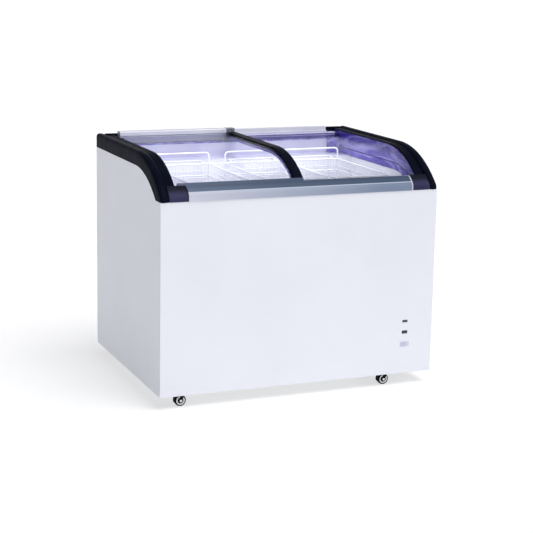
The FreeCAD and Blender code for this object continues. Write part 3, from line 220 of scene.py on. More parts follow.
def rail_with_painted_light():
    """Anodised rail with painted light: a pale face below, a painted highlight line at the bead,
    and a slate face above it that is a painted dark reflection. Both faces darken towards +X as
    painted shade.
    """
    shade_fade_start, shade_fade_end = -0.42, 0.30
    painted_highlight_low, painted_highlight_high = 0.7285, 0.7365
    dark_reflection_low, dark_reflection_high = 0.7322, 0.7342
    cap_start, cap_end = 0.408, 0.4095
    pale_end = colour(206, 210, 222)
    material, tree, shader = start_material("aluminium_rail", Metallic=0.05, IOR=1.12)
    lines = noise(tree, places(tree, (0.015, 1, 1)), 1800.0, 3.0)
    height, across = along_axis(tree, "Z"), along_axis(tree, "X")
    # Painted shade: the face and slate colours darken from left to right along the rail.
    painted_shade_sweep = spread(tree, across, 0.0, 1.0, shade_fade_start, shade_fade_end)
    face = ramp(tree, painted_shade_sweep, [(0.0, colour(206, 209, 222)), (0.5, colour(168, 176, 196)),
                              (1.0, colour(128, 140, 164))])
    painted_dark_reflection = ramp(tree, painted_shade_sweep, [(0.0, colour(104, 116, 138)), (0.5, colour(84, 97, 119)),
                               (1.0, colour(74, 88, 110))])
    # Painted highlight: a bright line along the bead.
    near_painted_highlight = spread(tree, height, 0.0, 1.0, painted_highlight_low, painted_highlight_high)
    painted_highlight = ramp(tree, near_painted_highlight, [(0.30, (0, 0, 0, 1)), (0.42, (1, 1, 1, 1)),
                                  (0.56, (1, 1, 1, 1)), (0.68, (0, 0, 0, 1))])
    # Painted dark reflection: the slate colour on the upward face above the bead.
    dark_reflection_mask = spread(tree, height, 0.0, 1.0, dark_reflection_low, dark_reflection_high)
    end = spread(tree, across, 0.0, 1.0, cap_start, cap_end)
    tone = mix_colours(tree, dark_reflection_mask, face, painted_dark_reflection)
    tone = mix_colours(tree, painted_highlight, tone, colour(196, 204, 220))
    tone = mix_colours(tree, end, tone, pale_end)
    tree.links.new(tone, shader.inputs["Base Color"])
    tree.links.new(spread(tree, lines, 0.42, 0.56), shader.inputs["Roughness"])
    roughen(tree, shader, lines, 0.1, 0.0001)
    return material


def clear_glass():
    """Thin tinted pane: light goes straight through, and its faces mirror at a slant."""
    material = bpy.data.materials.new("clear_glass")
    material.use_nodes = True
    tree = material.node_tree
    tree.nodes.remove(tree.nodes["Principled BSDF"])
    through = add_node(tree, "BsdfTransparent", {"Color": (0.975, 0.985, 0.99, 1)})
    smear = spread(tree, noise(tree, places(tree), 14.0, 3.0), 0.015, 0.06)
    mirror = add_node(tree, "BsdfGlossy", {"Color": (0.9, 0.95, 1, 1), "Roughness": smear})
    facing = add_node(tree, "LayerWeight", {"Blend": 0.5}).outputs["Facing"]
    steep = add_node(tree, "Math", {0: facing, 1: 5.0}, operation="POWER").outputs[0]
    share = spread(tree, steep, 0.015, 0.16, 0.0, 1.0)
    both = add_node(tree, "MixShader", {0: share, 1: through.outputs[0], 2: mirror.outputs[0]})
    tree.links.new(both.outputs[0], tree.nodes["Material Output"].inputs["Surface"])
    return material


def brushed(name, dark, light, rough, **inputs):
    """Drawn aluminium, its fine lines along the length of the freezer."""
    inputs.setdefault("Metallic", 1.0)
    material, tree, shader = start_material(name, **inputs)
    lines = noise(tree, places(tree, (0.015, 1, 1)), 1800.0, 3.0)
    drift = noise(tree, places(tree), 5.0, 2.0)
    both = add_node(tree, "Mix", {"Factor": 0.4, 2: drift, 3: lines}).outputs[0]
    tree.links.new(ramp(tree, both, [(0.35, dark), (0.65, light)]), shader.inputs["Base Color"])
    tree.links.new(spread(tree, lines, *rough), shader.inputs["Roughness"])
    roughen(tree, shader, lines, 0.12, 0.0001)
    return material


PAINT = mottled("painted_steel", colour(232, 233, 242), colour(236, 238, 246), (0.34, 0.46),
                patch=3.0, grain=1100.0, bump=0.06, Coat_Weight=0.15, Coat_Roughness=0.2)
BLACK = mottled("black_moulding", colour(13, 15, 29), colour(20, 23, 38), (0.34, 0.46),
                patch=14.0, grain=1500.0, bump=0.1, IOR=1.055)
# Corner blocks: below z 0.735 the lower front face is painted a lighter purple-navy as a painted
# reflection. The slanted face above stays black-navy.
BLOCK = split_at_height("corner_black_painted_reflection", (colour(50, 48, 78), colour(60, 57, 90)),
                 (colour(18, 20, 34), colour(26, 28, 44)), 0.735, 0.006, (0.3, 0.42), IOR=1.12)
LAVENDER_EDGE = split_at_height("lavender_profile", (colour(72, 56, 146), colour(86, 70, 160)),
                         (colour(176, 168, 216), colour(194, 187, 226)), 0.813, 0.0015,
                         (0.25, 0.38), Coat_Weight=0.3)
# A lighter copy of the silver profile finish: painted light that lifts the rear rail's shaded front
# face.
RAIL_PAINTED_LIGHTER = brushed("pale_rail_painted_light", colour(222, 223, 236), colour(238, 238, 247), (0.45, 0.6),
                    Metallic=0.0, Specular_IOR_Level=0.3)
# Near-black violet strip for the lining groove: painted shade in the groove.
GROOVE = mottled("groove_painted_shade", colour(34, 26, 84), colour(44, 34, 98), (0.5, 0.6))
finishes = {
    "painted_steel": PAINT,
    "zinc_steel": zinc(),
    "foam": foam(),
    # Liner: above z 0.747 it is painted a darker lavender, a painted violet-tinted shade near the
    # top of the tub.
    "white_liner": split_at_height("white_liner", (colour(238, 237, 246), colour(244, 244, 250)),
                            (colour(190, 187, 219), colour(203, 200, 228)), 0.747, 0.004,
                            (0.3, 0.42)),
    "copper": mottled("copper", colour(150, 84, 52), colour(206, 128, 84), (0.25, 0.5),
                      patch=20.0, Metallic=1.0),
    "black_moulding": BLACK,
    "violet_moulding": violet(),
    "aluminium_rail": rail_with_painted_light(),
    "grey_track": mottled("grey_track", colour(56, 58, 70), colour(76, 78, 92), (0.45, 0.6)),
    "clear_glass": clear_glass(),
    "silver_profile": brushed("silver_profile", colour(214, 215, 226), colour(232, 233, 241),
                              (0.4, 0.52), Metallic=0.15, Specular_IOR_Level=0.3),
    "grey_cap": mottled("grey_cap", colour(104, 107, 122), colour(150, 153, 168), (0.25, 0.4),
                        patch=60.0),
    "white_glide": mottled("white_glide", colour(214, 214, 214), colour(232, 232, 232),
                           (0.4, 0.55)),
    "white_wire": mottled("white_wire", colour(236, 236, 246), colour(246, 246, 252), (0.25, 0.36),
                          patch=40.0, grain=700.0, bump=0.08),
    "black_enamel": mottled("black_enamel", colour(16, 16, 17), colour(28, 28, 30), (0.28, 0.45)),
    "rubber_parts": mottled("rubber_parts", colour(22, 22, 23), colour(36, 36, 38), (0.65, 0.85)),
    "fin_aluminium": brushed("fin_aluminium", colour(176, 178, 184), colour(206, 208, 212),
                             (0.35, 0.5)),
    "motor_steel": mottled("motor_steel", colour(70, 70, 76), colour(96, 96, 104), (0.45, 0.6),
                           Metallic=0.6),
    "dark_lens": mottled("dark_lens", colour(30, 28, 44), colour(52, 50, 72), (0.12, 0.25),
                         patch=200.0, Coat_Weight=0.6),
    "dial_plastic": mottled("dial_plastic", colour(206, 203, 228), colour(222, 220, 238),
                            (0.4, 0.55)),
    "caster_steel": mottled("caster_steel", colour(8, 8, 15), colour(16, 16, 26), (0.28, 0.42),
                            IOR=1.12),
    "caster_wheel": mottled("caster_wheel", colour(7, 7, 12), colour(15, 15, 21), (0.5, 0.7),
                            IOR=1.12),
}


# ---- CAD nodes: their own finish, and rounded edges ----------------------------------------


SLOT_OF = {part["node"]: part["material_slot"] for part in frame["record"]["subparts"]}
OWN_FINISH = {"rear_rail": RAIL_PAINTED_LIGHTER, "right_door_rear_profile": LAVENDER_EDGE}
# edge radii in millimetres
EDGE_SIZES = {
    "front_panel": 2.0, "left_side_panel": 0.5, "right_side_panel": 0.5, "rear_panel": 0.5,
    "inner_liner": 0.6, "compressor": 4.0, "terminal_box": 3.0, "rear_grille": 0.8,
}
USUAL_EDGE = 0.5
for name, node in nodes.items():
    slot_name = SLOT_OF[name]
    for slot in node.material_slots:
        slot.material = finishes[slot_name]
    if name in OWN_FINISH:
        node.material_slots[0].material = OWN_FINISH[name]
    if slot_name == "clear_glass":
        continue
    weld = node.modifiers.new("weld", "WELD")
    weld.merge_threshold = 1e-6
    bevel = node.modifiers.new("rounded_edges", "BEVEL")
    bevel.width = EDGE_SIZES.get(name, USUAL_EDGE) * MM
    bevel.segments = 2
    bevel.limit_method = "ANGLE"
    bevel.angle_limit = math.radians(40)
    bevel.use_clamp_overlap = True


# ---- mesh helpers ------------------------------------------------------------------------


def finish_piece(piece, body, slot_name, material=None, edge=0.0, segments=3):
    """Gives a piece its material, the finish of slot_name unless another is given, an edge radius
    in millimetres and its body.
    """
    piece.data.materials.append(material or finishes[slot_name])
    if edge:
        bevel = piece.modifiers.new("rounded_edges", "BEVEL")
        bevel.width = edge * MM
        bevel.segments = segments
        bevel.limit_method = "ANGLE"
        bevel.angle_limit = math.radians(35)
    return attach(piece, body)


def mesh_piece(name, points, faces, body, slot_name, material=None, edge=0.0, smooth=35.0):
    """A piece from points in millimetres and its faces."""
    mesh = bpy.data.meshes.new(name)
    mesh.from_pydata([Vector(point) * MM for point in points], [], faces)
    work = bmesh.new()
    work.from_mesh(mesh)
    bmesh.ops.recalc_face_normals(work, faces=work.faces)
    work.to_mesh(mesh)
    work.free()
    mesh.shade_smooth()
    mesh.set_sharp_from_angle(angle=math.radians(smooth))
    piece = bpy.data.objects.new(name, mesh)
    scene.collection.objects.link(piece)
    return finish_piece(piece, body, slot_name, material, edge)


def loft(name, rings, body, slot_name, material=None, closed=False, edge=0.0, smooth=35.0):
    """A skin over rings of points.

    closed joins the last ring to the first. Otherwise the two ends are capped.
    """
    size = len(rings[0])
    points = [point for ring in rings for point in ring]
    faces = []
    for first in range(len(rings) if closed else len(rings) - 1):
        second = (first + 1) % len(rings)
        for at in range(size):
            after = (at + 1) % size
            faces.append((first * size + at, first * size + after,
                          second * size + after, second * size + at))
    if not closed:
        faces.append(tuple(range(size)))
        faces.append(tuple(range(len(points) - size, len(points))))
    return mesh_piece(name, points, faces, body, slot_name, material, edge, smooth)


def extrude_x(name, outline, low, high, body, slot_name, material=None, edge=0.0):
    """A (y, z) outline made long from low to high along X."""
    rings = [[(x, y, z) for y, z in outline] for x in (low, high)]
    return loft(name, rings, body, slot_name, material, edge=edge)


def turned(name, outline, centre, body, slot_name, material=None, steps=56, upright=False):
    """A closed outline of (radius, along) turned about a line along Y, or along Z if upright."""
    rings = []
    for step in range(steps):
        turn = 2 * math.pi * step / steps
        ring = []
        for radius, along in outline:
            across, round_by = radius * math.cos(turn), radius * math.sin(turn)
            offset = (across, round_by, along) if upright else (across, along, round_by)
            ring.append(tuple(middle + away for middle, away in zip(centre, offset)))
        rings.append(ring)
    return loft(name, rings, body, slot_name, material, closed=True)


def round_corners(points, radius, steps=4):
    """The points of an open run with each inner corner replaced by a short curve."""
    points = [Vector(point) for point in points]
    made = [points[0]]
    for before, corner, after in zip(points, points[1:], points[2:]):
        start = corner + (before - corner).normalized() * radius
        end = corner + (after - corner).normalized() * radius
        for step in range(steps + 1):
            t = step / steps
            made.append(start * (1 - t) ** 2 + corner * 2 * t * (1 - t) + end * t * t)
    return made + [points[-1]]


def wires(name, runs, body, slot_name, radius, rounding=2):
    """Round wires of one radius, one for each pair of a run of points and whether it closes."""
    curve = bpy.data.curves.new(name, "CURVE")
    curve.dimensions = "3D"
    curve.bevel_depth = radius * MM
    curve.bevel_resolution = rounding
    curve.use_fill_caps = True
    for run, cyclic in runs:
        spline = curve.splines.new("POLY")
        spline.points.add(len(run) - 1)
        for point, place in zip(spline.points, run):
            point.co = (*(Vector(place) * MM), 1)
        spline.use_cyclic_u = cyclic
        spline.use_smooth = True
    piece = bpy.data.objects.new(name, curve)
    scene.collection.objects.link(piece)
    return finish_piece(piece, body, slot_name)


def on_arc(zero, radius, angle):
    """(y, z) at an angle in degrees in front of the upright, on a curve of the ends or doors."""
    turn = math.radians(angle)
    return ARC_START - radius * math.sin(turn), zero + radius * math.cos(turn)


# ---- end frames ----------------------------------------------------------------------------

HALF_WIDTH, HALF_DEPTH = 510.0, 375.0
ARC_START = -100.0
RIDGE_ZERO, RIDGE_ARC, BAND_HEIGHT = 472.0, 368.0, 50.0
PANEL_TOP = 703.0
CORNER_ARC, CORNER_STEPS = 20.0, 6
CORNER_Y = -HALF_DEPTH + CORNER_ARC
CORNER_ANGLE = math.degrees(math.asin((ARC_START - CORNER_Y) / (RIDGE_ARC - CORNER_ARC)))
CORNER_Z = RIDGE_ZERO + (RIDGE_ARC - CORNER_ARC) * math.cos(math.radians(CORNER_ANGLE))
POINT_GAP = 0.1

# across from the outer face, and depth below the ridge's outline
RIDGE_SKIN = [
    (0, 50), (0, 30), (0, 14), (0.5, 9), (1.8, 5.4), (4.2, 2.6), (7.6, 0.9), (12, 0.1), (17, 0.1),
    (22, 0.9), (26, 2.4), (29, 5), (31, 8.4), (32, 13), (32, 24),
    (29.5, 24), (29.5, 13), (28.6, 9.6), (26.6, 7), (24, 5.2), (20, 3.8), (15, 3), (10.4, 3.2),
    (7, 4.6), (4.4, 7), (3, 10.4), (2.5, 15), (2.5, 30), (2.5, 50),
]
# the band inside the ridge: across from the outer face, and radius on the doors' curve
DOOR_ZERO = 497.0
BAND_SKIN = [
    (31, 336.4), (34, 337.5), (42, 338), (44, 336.6), (46.5, 336.6), (48.5, 338), (57, 338),
    (61.5, 337.4), (64.2, 336), (65, 334.4), (65, 334), (31, 334),
]
BAND_REAR, BAND_MIDDLE = 360, 100
BAND_ANGLE, BAND_STEPS = 44.5, 22

BLOCK_INNER, BLOCK_OUTER, BLOCK_REAR = 413, 480, -338.0
BLOCK_LOW, BLOCK_INSET = PANEL_TOP + 0.2, 0.4
FOOT_OUTLINE = [(355, 790.5), (375, 790.5), (375, 839), (355, 839)]


def on_corner(radius, step):
    """(y, z) on the small arc between the ridge's curve and the front."""
    angle = math.radians(CORNER_ANGLE + (90 - CORNER_ANGLE) * step / CORNER_STEPS)
    return CORNER_Y - radius * math.sin(angle), CORNER_Z + radius * math.cos(angle)


def ridge_stations(arc_steps=24):
    """Pairs of (y, z) points: on the ridge's outline, and on the panel's edge under it."""
    low_arc = RIDGE_ARC - BAND_HEIGHT
    stations = [((y, RIDGE_ZERO + RIDGE_ARC), (y, RIDGE_ZERO + low_arc))
                for y in (375, 374, 340, 250, 150, 50, -40)]
    last_low = math.degrees(math.acos((PANEL_TOP - RIDGE_ZERO) / low_arc))
    for step in range(arc_steps + 1):
        angle = CORNER_ANGLE * step / arc_steps
        low = on_arc(RIDGE_ZERO, low_arc, min(angle, last_low))
        if angle > last_low:
            low = (low[0] - POINT_GAP * (angle - last_low), PANEL_TOP)
        stations.append((on_arc(RIDGE_ZERO, RIDGE_ARC, angle), low))
    low_y = low[0]
    for step in range(1, CORNER_STEPS + 1):
        stations.append((on_corner(CORNER_ARC, step), (low_y - POINT_GAP * step, PANEL_TOP)))
    stations.append(((-HALF_DEPTH, PANEL_TOP), (low_y - 1, PANEL_TOP)))
    return stations


def ridge_rings(side):
    """The ridge's skin at each station. Its foot follows the panel's edge."""
    rings = []
    for high, low in ridge_stations():
        high, low = Vector(high), Vector(low)
        down = (low - high).normalized()
        reach = (low - high).length
        ring = []
        for across, depth in RIDGE_SKIN:
            place = low if depth >= BAND_HEIGHT else high + down * min(depth, reach)
            ring.append((side * (HALF_WIDTH - across), place.x, place.y))
        rings.append(ring)
    return rings


def band_rings(side):
    """The inner band's skin: straight at the rear, then round the doors' curve."""
    rings = []
    for y in (BAND_REAR, BAND_MIDDLE):
        rings.append([(side * (HALF_WIDTH - across), y, DOOR_ZERO + radius)
                      for across, radius in BAND_SKIN])
    for step in range(BAND_STEPS + 1):
        y, z = on_arc(DOOR_ZERO, 1, BAND_ANGLE * step / BAND_STEPS)
        rings.append([(side * (HALF_WIDTH - across), ARC_START + (y - ARC_START) * radius,
                       DOOR_ZERO + (z - DOOR_ZERO) * radius) for across, radius in BAND_SKIN])
    return rings


def block_outline(steps=6):
    """(y, z) outline of a corner block, just inside the ridge's."""
    behind = ARC_START - BLOCK_REAR
    first = math.degrees(math.asin(behind / RIDGE_ARC))
    outline = [(BLOCK_REAR, BLOCK_LOW),
               (BLOCK_REAR, RIDGE_ZERO + math.sqrt(RIDGE_ARC ** 2 - behind ** 2) - BLOCK_INSET)]
    for step in range(1, steps + 1):
        angle = first + (CORNER_ANGLE - first) * step / steps
        outline.append(on_arc(RIDGE_ZERO, RIDGE_ARC - BLOCK_INSET, angle))
    for step in range(1, CORNER_STEPS + 1):
        outline.append(on_corner(CORNER_ARC - BLOCK_INSET, step))
    return outline + [(-HALF_DEPTH + BLOCK_INSET, BLOCK_LOW)]


def end_frame(side, word):
    """One black end: its ridge, the band inside it, the front corner block and the rear foot."""
    ends = sorted((side * BLOCK_INNER, side * BLOCK_OUTER))
    pieces = [
        loft(word + "_ridge", ridge_rings(side), "cabinet", "black_moulding"),
        loft(word + "_inner_band", band_rings(side), "cabinet", "black_moulding"),
        extrude_x(word + "_corner_block", block_outline(), *ends, "cabinet", "black_moulding",
                  BLOCK, 1.6),
        extrude_x(word + "_rear_foot", FOOT_OUTLINE, *ends, "cabinet", "black_moulding", edge=2.5),
    ]
    for piece in pieces:
        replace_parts(piece, word + "_end_frame")


LINING_BEND, LINING_ARC, LINING_ZERO = -160.0, 220.0, 525.0
LINING_REAR, LINING_FRONT, LINING_FACE = 343.5, -329.5, 445.0
GROOVE_RISE, GROOVE_WIDTH, GROOVE_PROUD = 24.0, 3.0, 0.95


def lining_groove_shade(side, word, steps=14):
    """Dark strip of painted shade for the groove that follows the lower edge of an end lining."""
    low = LINING_ARC + GROOVE_RISE
    high = low + GROOVE_WIDTH
    last = math.degrees(math.asin((LINING_BEND - LINING_FRONT) / low))

    def on_lining(radius, step):
        angle = math.radians(last * step / steps)
        return LINING_BEND - radius * math.sin(angle), LINING_ZERO + radius * math.cos(angle)

    outline = [(LINING_REAR, LINING_ZERO + low), (LINING_BEND, LINING_ZERO + low)]
    outline += [on_lining(low, step) for step in range(1, steps + 1)]
    outline += [on_lining(high, step) for step in range(steps, -1, -1)]
    outline += [(LINING_REAR, LINING_ZERO + high)]
    ends = sorted((side * LINING_FACE, side * (LINING_FACE + GROOVE_PROUD)))
    extrude_x(word + "_lining_groove_shade", outline, *ends, "cabinet", "violet_moulding", GROOVE)


for side, word in ((-1, "left"), (1, "right")):
    end_frame(side, word)
    lining_groove_shade(side, word)


# ---- baskets -------------------------------------------------------------------------------

BASKETS = {"left": -258.0, "centre": 30.0, "right": 263.5}
BASKET_HALF = 113.8
BASKET_FRONT, BASKET_REAR = -270.7, 164.6
BASKET_LOW, BASKET_TOP = 516.5, 742.6
MESH_WIRE, RIM_WIRE, LOOP_WIRE = 1.1, 2.2, 2.9
GAPS_ACROSS, GAPS_ALONG, GAPS_UP = 16, 29, 9
RIM_INSET, ROUND_INSET, LOW_RIM = 1.2, 3.2, 700
# half width, y and height of each hook's outer run
REAR_HOOK, FRONT_HOOK = (88, 195, 750.5), (106, -297.5, 726.5)
HOOK_LOW = 690
LOOP_HALF, LOOP_TOP, LOOP_FOOT = 112.0, 784.0, 20


def rounded_loop(half, front, rear, middle, z, radius=16.0, steps=5):
    """A level rectangle with round corners."""
    made = []
    corners = ((half, rear, 0), (-half, rear, 90), (-half, front, 180), (half, front, 270))
    for x, y, start in corners:
        centre_x = middle + x - math.copysign(radius, x)
        centre_y = y - math.copysign(radius, y)
        for step in range(steps + 1):
            turn = math.radians(start + 90 * step / steps)
            made.append((centre_x + radius * math.cos(turn), centre_y + radius * math.sin(turn), z))
    return made


def basket_mesh(middle, low, top):
    """Fine wires under the floor from front to rear, across it, and round the walls."""
    front, rear = BASKET_FRONT + RIM_INSET, BASKET_REAR - RIM_INSET
    left, right = middle - BASKET_HALF + RIM_INSET, middle + BASKET_HALF - RIM_INSET
    floor, corner = low + 2 * MESH_WIRE, 12
    fine = []
    for step in range(1, GAPS_ACROSS):
        x = middle - BASKET_HALF + 2 * BASKET_HALF * step / GAPS_ACROSS
        run = [(x, front, top), (x, front, low), (x, rear, low), (x, rear, top)]
        fine.append((round_corners(run, corner), False))
    for step in range(1, GAPS_ALONG):
        y = BASKET_FRONT + (BASKET_REAR - BASKET_FRONT) * step / GAPS_ALONG
        run = [(left, y, top), (left, y, floor), (right, y, floor), (right, y, top)]
        fine.append((round_corners(run, corner), False))
    half = BASKET_HALF - ROUND_INSET
    front, rear = BASKET_FRONT + ROUND_INSET, BASKET_REAR - ROUND_INSET
    for step in range(1, GAPS_UP):
        z = low + (top - low) * step / GAPS_UP
        fine.append((rounded_loop(half, front, rear, middle, z), True))
    return fine


def hook(middle, wall, half, y, z):
    """A wire up a wall, out to y, along, and back down."""
    left, right = middle - half, middle + half
    run = [(left, wall, HOOK_LOW), (left, wall, z), (left, y, z),
           (right, y, z), (right, wall, z), (right, wall, HOOK_LOW)]
    return round_corners(run, 7)


def basket(word, middle):
    """A wire basket: its fine mesh, its rims with their hooks, and the raised rear loop."""
    body, node = word + "_basket", "basket_" + word
    mesh = basket_mesh(middle, BASKET_LOW, BASKET_TOP)
    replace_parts(wires(word + "_basket_mesh", mesh, body, "white_wire", MESH_WIRE, 1), node)

    rims = []
    for z in (BASKET_TOP - 0.4, LOW_RIM):
        rims.append((rounded_loop(BASKET_HALF - RIM_INSET, BASKET_FRONT + 1.3, BASKET_REAR - 1.3,
                                  middle, z), True))
    rims.append((hook(middle, BASKET_REAR, *REAR_HOOK), False))
    rims.append((hook(middle, BASKET_FRONT, *FRONT_HOOK), False))
    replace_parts(wires(word + "_basket_rims", rims, body, "white_wire", RIM_WIRE), node)

    left, right, rear = middle - LOOP_HALF, middle + LOOP_HALF, BASKET_REAR - 1
    foot = BASKET_LOW + LOOP_FOOT
    run = [(left, rear, foot), (left, rear, LOOP_TOP), (right, rear, LOOP_TOP),
           (right, rear, foot)]
    loop = [(round_corners(run, 16, 6), False)]
    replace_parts(wires(word + "_basket_loop", loop, body, "white_wire", LOOP_WIRE, 3), node)


for word, middle in BASKETS.items():
    basket(word, middle)


# ---- casters -------------------------------------------------------------------------------

CASTER_LEFT, CASTER_RIGHT, CASTER_Y = -446, 319, 338
CASTERS = {"front_left": (CASTER_LEFT, -CASTER_Y), "front_right": (CASTER_RIGHT, -CASTER_Y),
           "rear_left": (CASTER_LEFT, CASTER_Y), "rear_right": (CASTER_RIGHT, CASTER_Y)}
TRAIL, WHEEL = 18.0, 20.0
CHEEKS, CHEEK_THICK = (("near", -12.4), ("far", 10.2)), 2.2
CROWN_RADIUS, RACE_LOW = 16.8, 47.8
# (radius, along the axis) outlines of the round pieces
RACE = [(5, 4.2), (13.4, 4.2), (14, 3.6), (14, 0.6), (13.4, 0), (5, 0)]
AXLE = [(0.01, -13.8), (3.2, -13.8), (4.4, -13.2), (4.4, -12.3), (2.9, -12.3), (2.9, 12.3),
        (4.4, 12.3), (4.4, 13.2), (3.2, 13.8), (0.01, 13.8)]
TYRE = [(15, -7.4), (17.2, -8.2), (18.8, -7.6), (19.7, -5.8), (20, -3), (20, 3), (19.7, 5.8),
        (18.8, 7.6), (17.2, 8.2), (15, 7.4)]
RIM = [(10, -7.2), (11, -8.3), (14, -8.5), (15.3, -7.6), (15.3, 7.6), (14, 8.5), (11, 8.3),
       (10, 7.2)]
CORE = [(3.3, -9), (5, -9.2), (6.4, -8.6), (7.2, -6.6), (10.2, -6.2), (10.2, 6.2), (7.2, 6.6),
        (6.4, 8.6), (5, 9.2), (3.3, 9)]
WHITE_RING = mottled("caster_white", colour(232, 232, 236), colour(246, 246, 248), (0.3, 0.45),
                     patch=60.0)


def cheek_outline(x):
    """Side outline of a fork's cheek in (x, z): a curved wing, a strut and a disc at the axle."""
    hub = x + TRAIL

    def on_disc(radius, angles):
        turns = [math.radians(angle) for angle in angles]
        return [(hub + radius * math.cos(turn), WHEEL + radius * math.sin(turn)) for turn in turns]

    outline = [(x - 15.5, 45.8), (x - 10.5, 40)]
    outline += on_disc(20.6, (140, 155, 170, 185, 200, 214))
    outline += on_disc(17.0, (206, 190, 175, 160, 145, 130, 118))
    outline += [(hub - 2.5, 37)]
    outline += on_disc(8.4, range(112, 408, 16))
    return outline + [(hub + 9.2, 31), (hub + 9.2, 45.8)]


def slab(name, outline, near, far, body, slot_name, edge):
    """An (x, z) outline made thick from near to far along Y."""
    rings = [[(x, y, z) for x, z in outline] for y in (near, far)]
    return loft(name, rings, body, slot_name, edge=edge)


def caster_crown(name, x, y, body, steps=40):
    """The round top of a fork."""
    rings = []
    for z, grow in ((43.9, -1.2), (45, 0), (47, 0), (48, -1.5)):
        radius = CROWN_RADIUS + grow
        turns = [2 * math.pi * step / steps for step in range(steps)]
        rings.append([(x + radius * math.cos(turn), y + radius * math.sin(turn), z)
                      for turn in turns])
    return loft(name, rings, body, "caster_steel")


def caster_fork(place, x, y):
    """Cheeks, crown, bridge, race and axle, all on the swivel's body."""
    body, node = "swivel_" + place, "caster_fork_" + place
    hub = (x + TRAIL, y, WHEEL)
    pieces = []
    for word, low in CHEEKS:
        pieces.append(slab("%s_cheek_%s" % (node, word), cheek_outline(x), y + low,
                           y + (low + CHEEK_THICK), body, "caster_steel", 0.5))
    pieces.append(caster_crown(node + "_crown", x, y, body))
    bridge = [(x - 14, 43.9), (x + TRAIL + 6.5, 43.9), (x + TRAIL + 6.5, 46.5), (x - 14, 46.5)]
    pieces.append(slab(node + "_bridge", bridge, y - 12.2, y + 12.2, body, "caster_steel", 0.8))
    pieces.append(turned(node + "_race", RACE, (x, y, RACE_LOW), body, "zinc_steel", steps=40,
                         upright=True))
    pieces.append(turned(node + "_axle", AXLE, hub, body, "zinc_steel", WHITE_RING, 32))
    for piece in pieces:
        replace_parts(piece, node)


def caster_wheel(place, x, y):
    """Tyre, white rim and core, all on the wheel's body."""
    body, node = "wheel_" + place, "caster_wheel_" + place
    hub = (x + TRAIL, y, WHEEL)
    parts = (("tyre", TYRE, None), ("rim", RIM, WHITE_RING), ("core", CORE, None))
    for word, outline, material in parts:
        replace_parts(turned(node + "_" + word, outline, hub, body, "caster_wheel", material), node)


for place, (x, y) in CASTERS.items():
    caster_fork(place, x, y)
    caster_wheel(place, x, y)


# ---- controls ------------------------------------------------------------------------------

CONTROL_X, FACE = 402.0, -372.0
LAMP_Z, LAMP_SIZE = 234, (20, 5.0)
DIAL_Z, SCALE_RADIUS, SCALE_START, SCALE_SWEEP, SCALE_MARKS = 150, 9.0, -30, 240, 7
MARK_LONG, MARK_HALF_WIDTH = 2.0, 0.45
PRINT_GREY = mottled("print_grey", colour(168, 166, 180), colour(186, 184, 200), (0.5, 0.6),
                     patch=300.0)
LAMP_GREY = mottled("lamp_grey", colour(58, 58, 66), colour(84, 84, 92), (0.15, 0.3), patch=150.0)


def lamp_bezel(thick=1.2, corner=2.4, steps=5):
    """A flat plate with round corners, its back at the panel."""
    outline = []
    half_wide, half_high = LAMP_SIZE[0] / 2 - corner, LAMP_SIZE[1] / 2 - corner
    for to_right, up, start in ((1, 1, 0), (-1, 1, 90), (-1, -1, 180), (1, -1, 270)):
        for step in range(steps + 1):
            turn = math.radians(start + 90 * step / steps)
            outline.append((CONTROL_X + to_right * half_wide + corner * math.cos(turn),
                            LAMP_Z + up * half_high + corner * math.sin(turn)))
    rings = [[(x, y, z) for x, z in outline] for y in (FACE - thick, FACE + 0.6)]
    loft("lamp_bezel", rings, "cabinet", "dark_lens", LAMP_GREY, edge=0.3)


def dial_scale():
    """Short printed marks round the dial, and three beside it."""
    marks = []
    for step in range(SCALE_MARKS):
        turn = math.radians(SCALE_START + SCALE_SWEEP * step / (SCALE_MARKS - 1))
        marks.append((CONTROL_X + SCALE_RADIUS * math.cos(turn),
                      DIAL_Z + SCALE_RADIUS * math.sin(turn), turn, MARK_LONG))
    marks += [(CONTROL_X - 14, DIAL_Z + rise, 0.0, 3.6) for rise in (-4.5, 0.0, 4.5)]
    points, faces = [], []
    for x, z, turn, reach in marks:
        along = Vector((math.cos(turn), 0, math.sin(turn))) * (reach / 2)
        across = Vector((-math.sin(turn), 0, math.cos(turn))) * MARK_HALF_WIDTH
        start = len(points)
        for y in (FACE - 0.1, FACE + 0.3):
            middle = Vector((x, y, z))
            points += [middle - along - across, middle + along - across,
                       middle + along + across, middle - along + across]
        faces += [tuple(start + corner for corner in face) for face in (
            (0, 1, 2, 3), (4, 5, 6, 7), (0, 1, 5, 4), (1, 2, 6, 5), (2, 3, 7, 6), (3, 0, 4, 7))]
    mesh_piece("dial_scale", points, faces, "cabinet", "dial_plastic", PRINT_GREY)


lamp_bezel()
dial_scale()


# ---- stage, lights and camera --------------------------------------------------------------


def stage_floor():
    """Wide pale floor that nearly hides its horizon."""
    mesh = bpy.data.meshes.new("floor")
    reach = 90.0
    corners = [(-reach, -reach, 0), (reach, -reach, 0), (reach, reach, 0), (-reach, reach, 0)]
    mesh.from_pydata(corners, [], [(0, 1, 2, 3)])
    floor = bpy.data.objects.new("floor", mesh)
    scene.collection.objects.link(floor)
    floor.location.z = -0.0002
    material, tree, shader = start_material("pale_floor", Roughness=0.9, Specular_IOR_Level=0.1)
    drift = noise(tree, places(tree), 0.7, 2.0)
    shades = [(0.3, (0.50, 0.50, 0.505, 1)), (0.7, (0.52, 0.52, 0.52, 1))]
    tree.links.new(ramp(tree, drift, shades), shader.inputs["Base Color"])
    shader.inputs["Emission Color"].default_value = (1, 1, 1, 1)
    shader.inputs["Emission Strength"].default_value = 0.6
    mesh.materials.append(material)


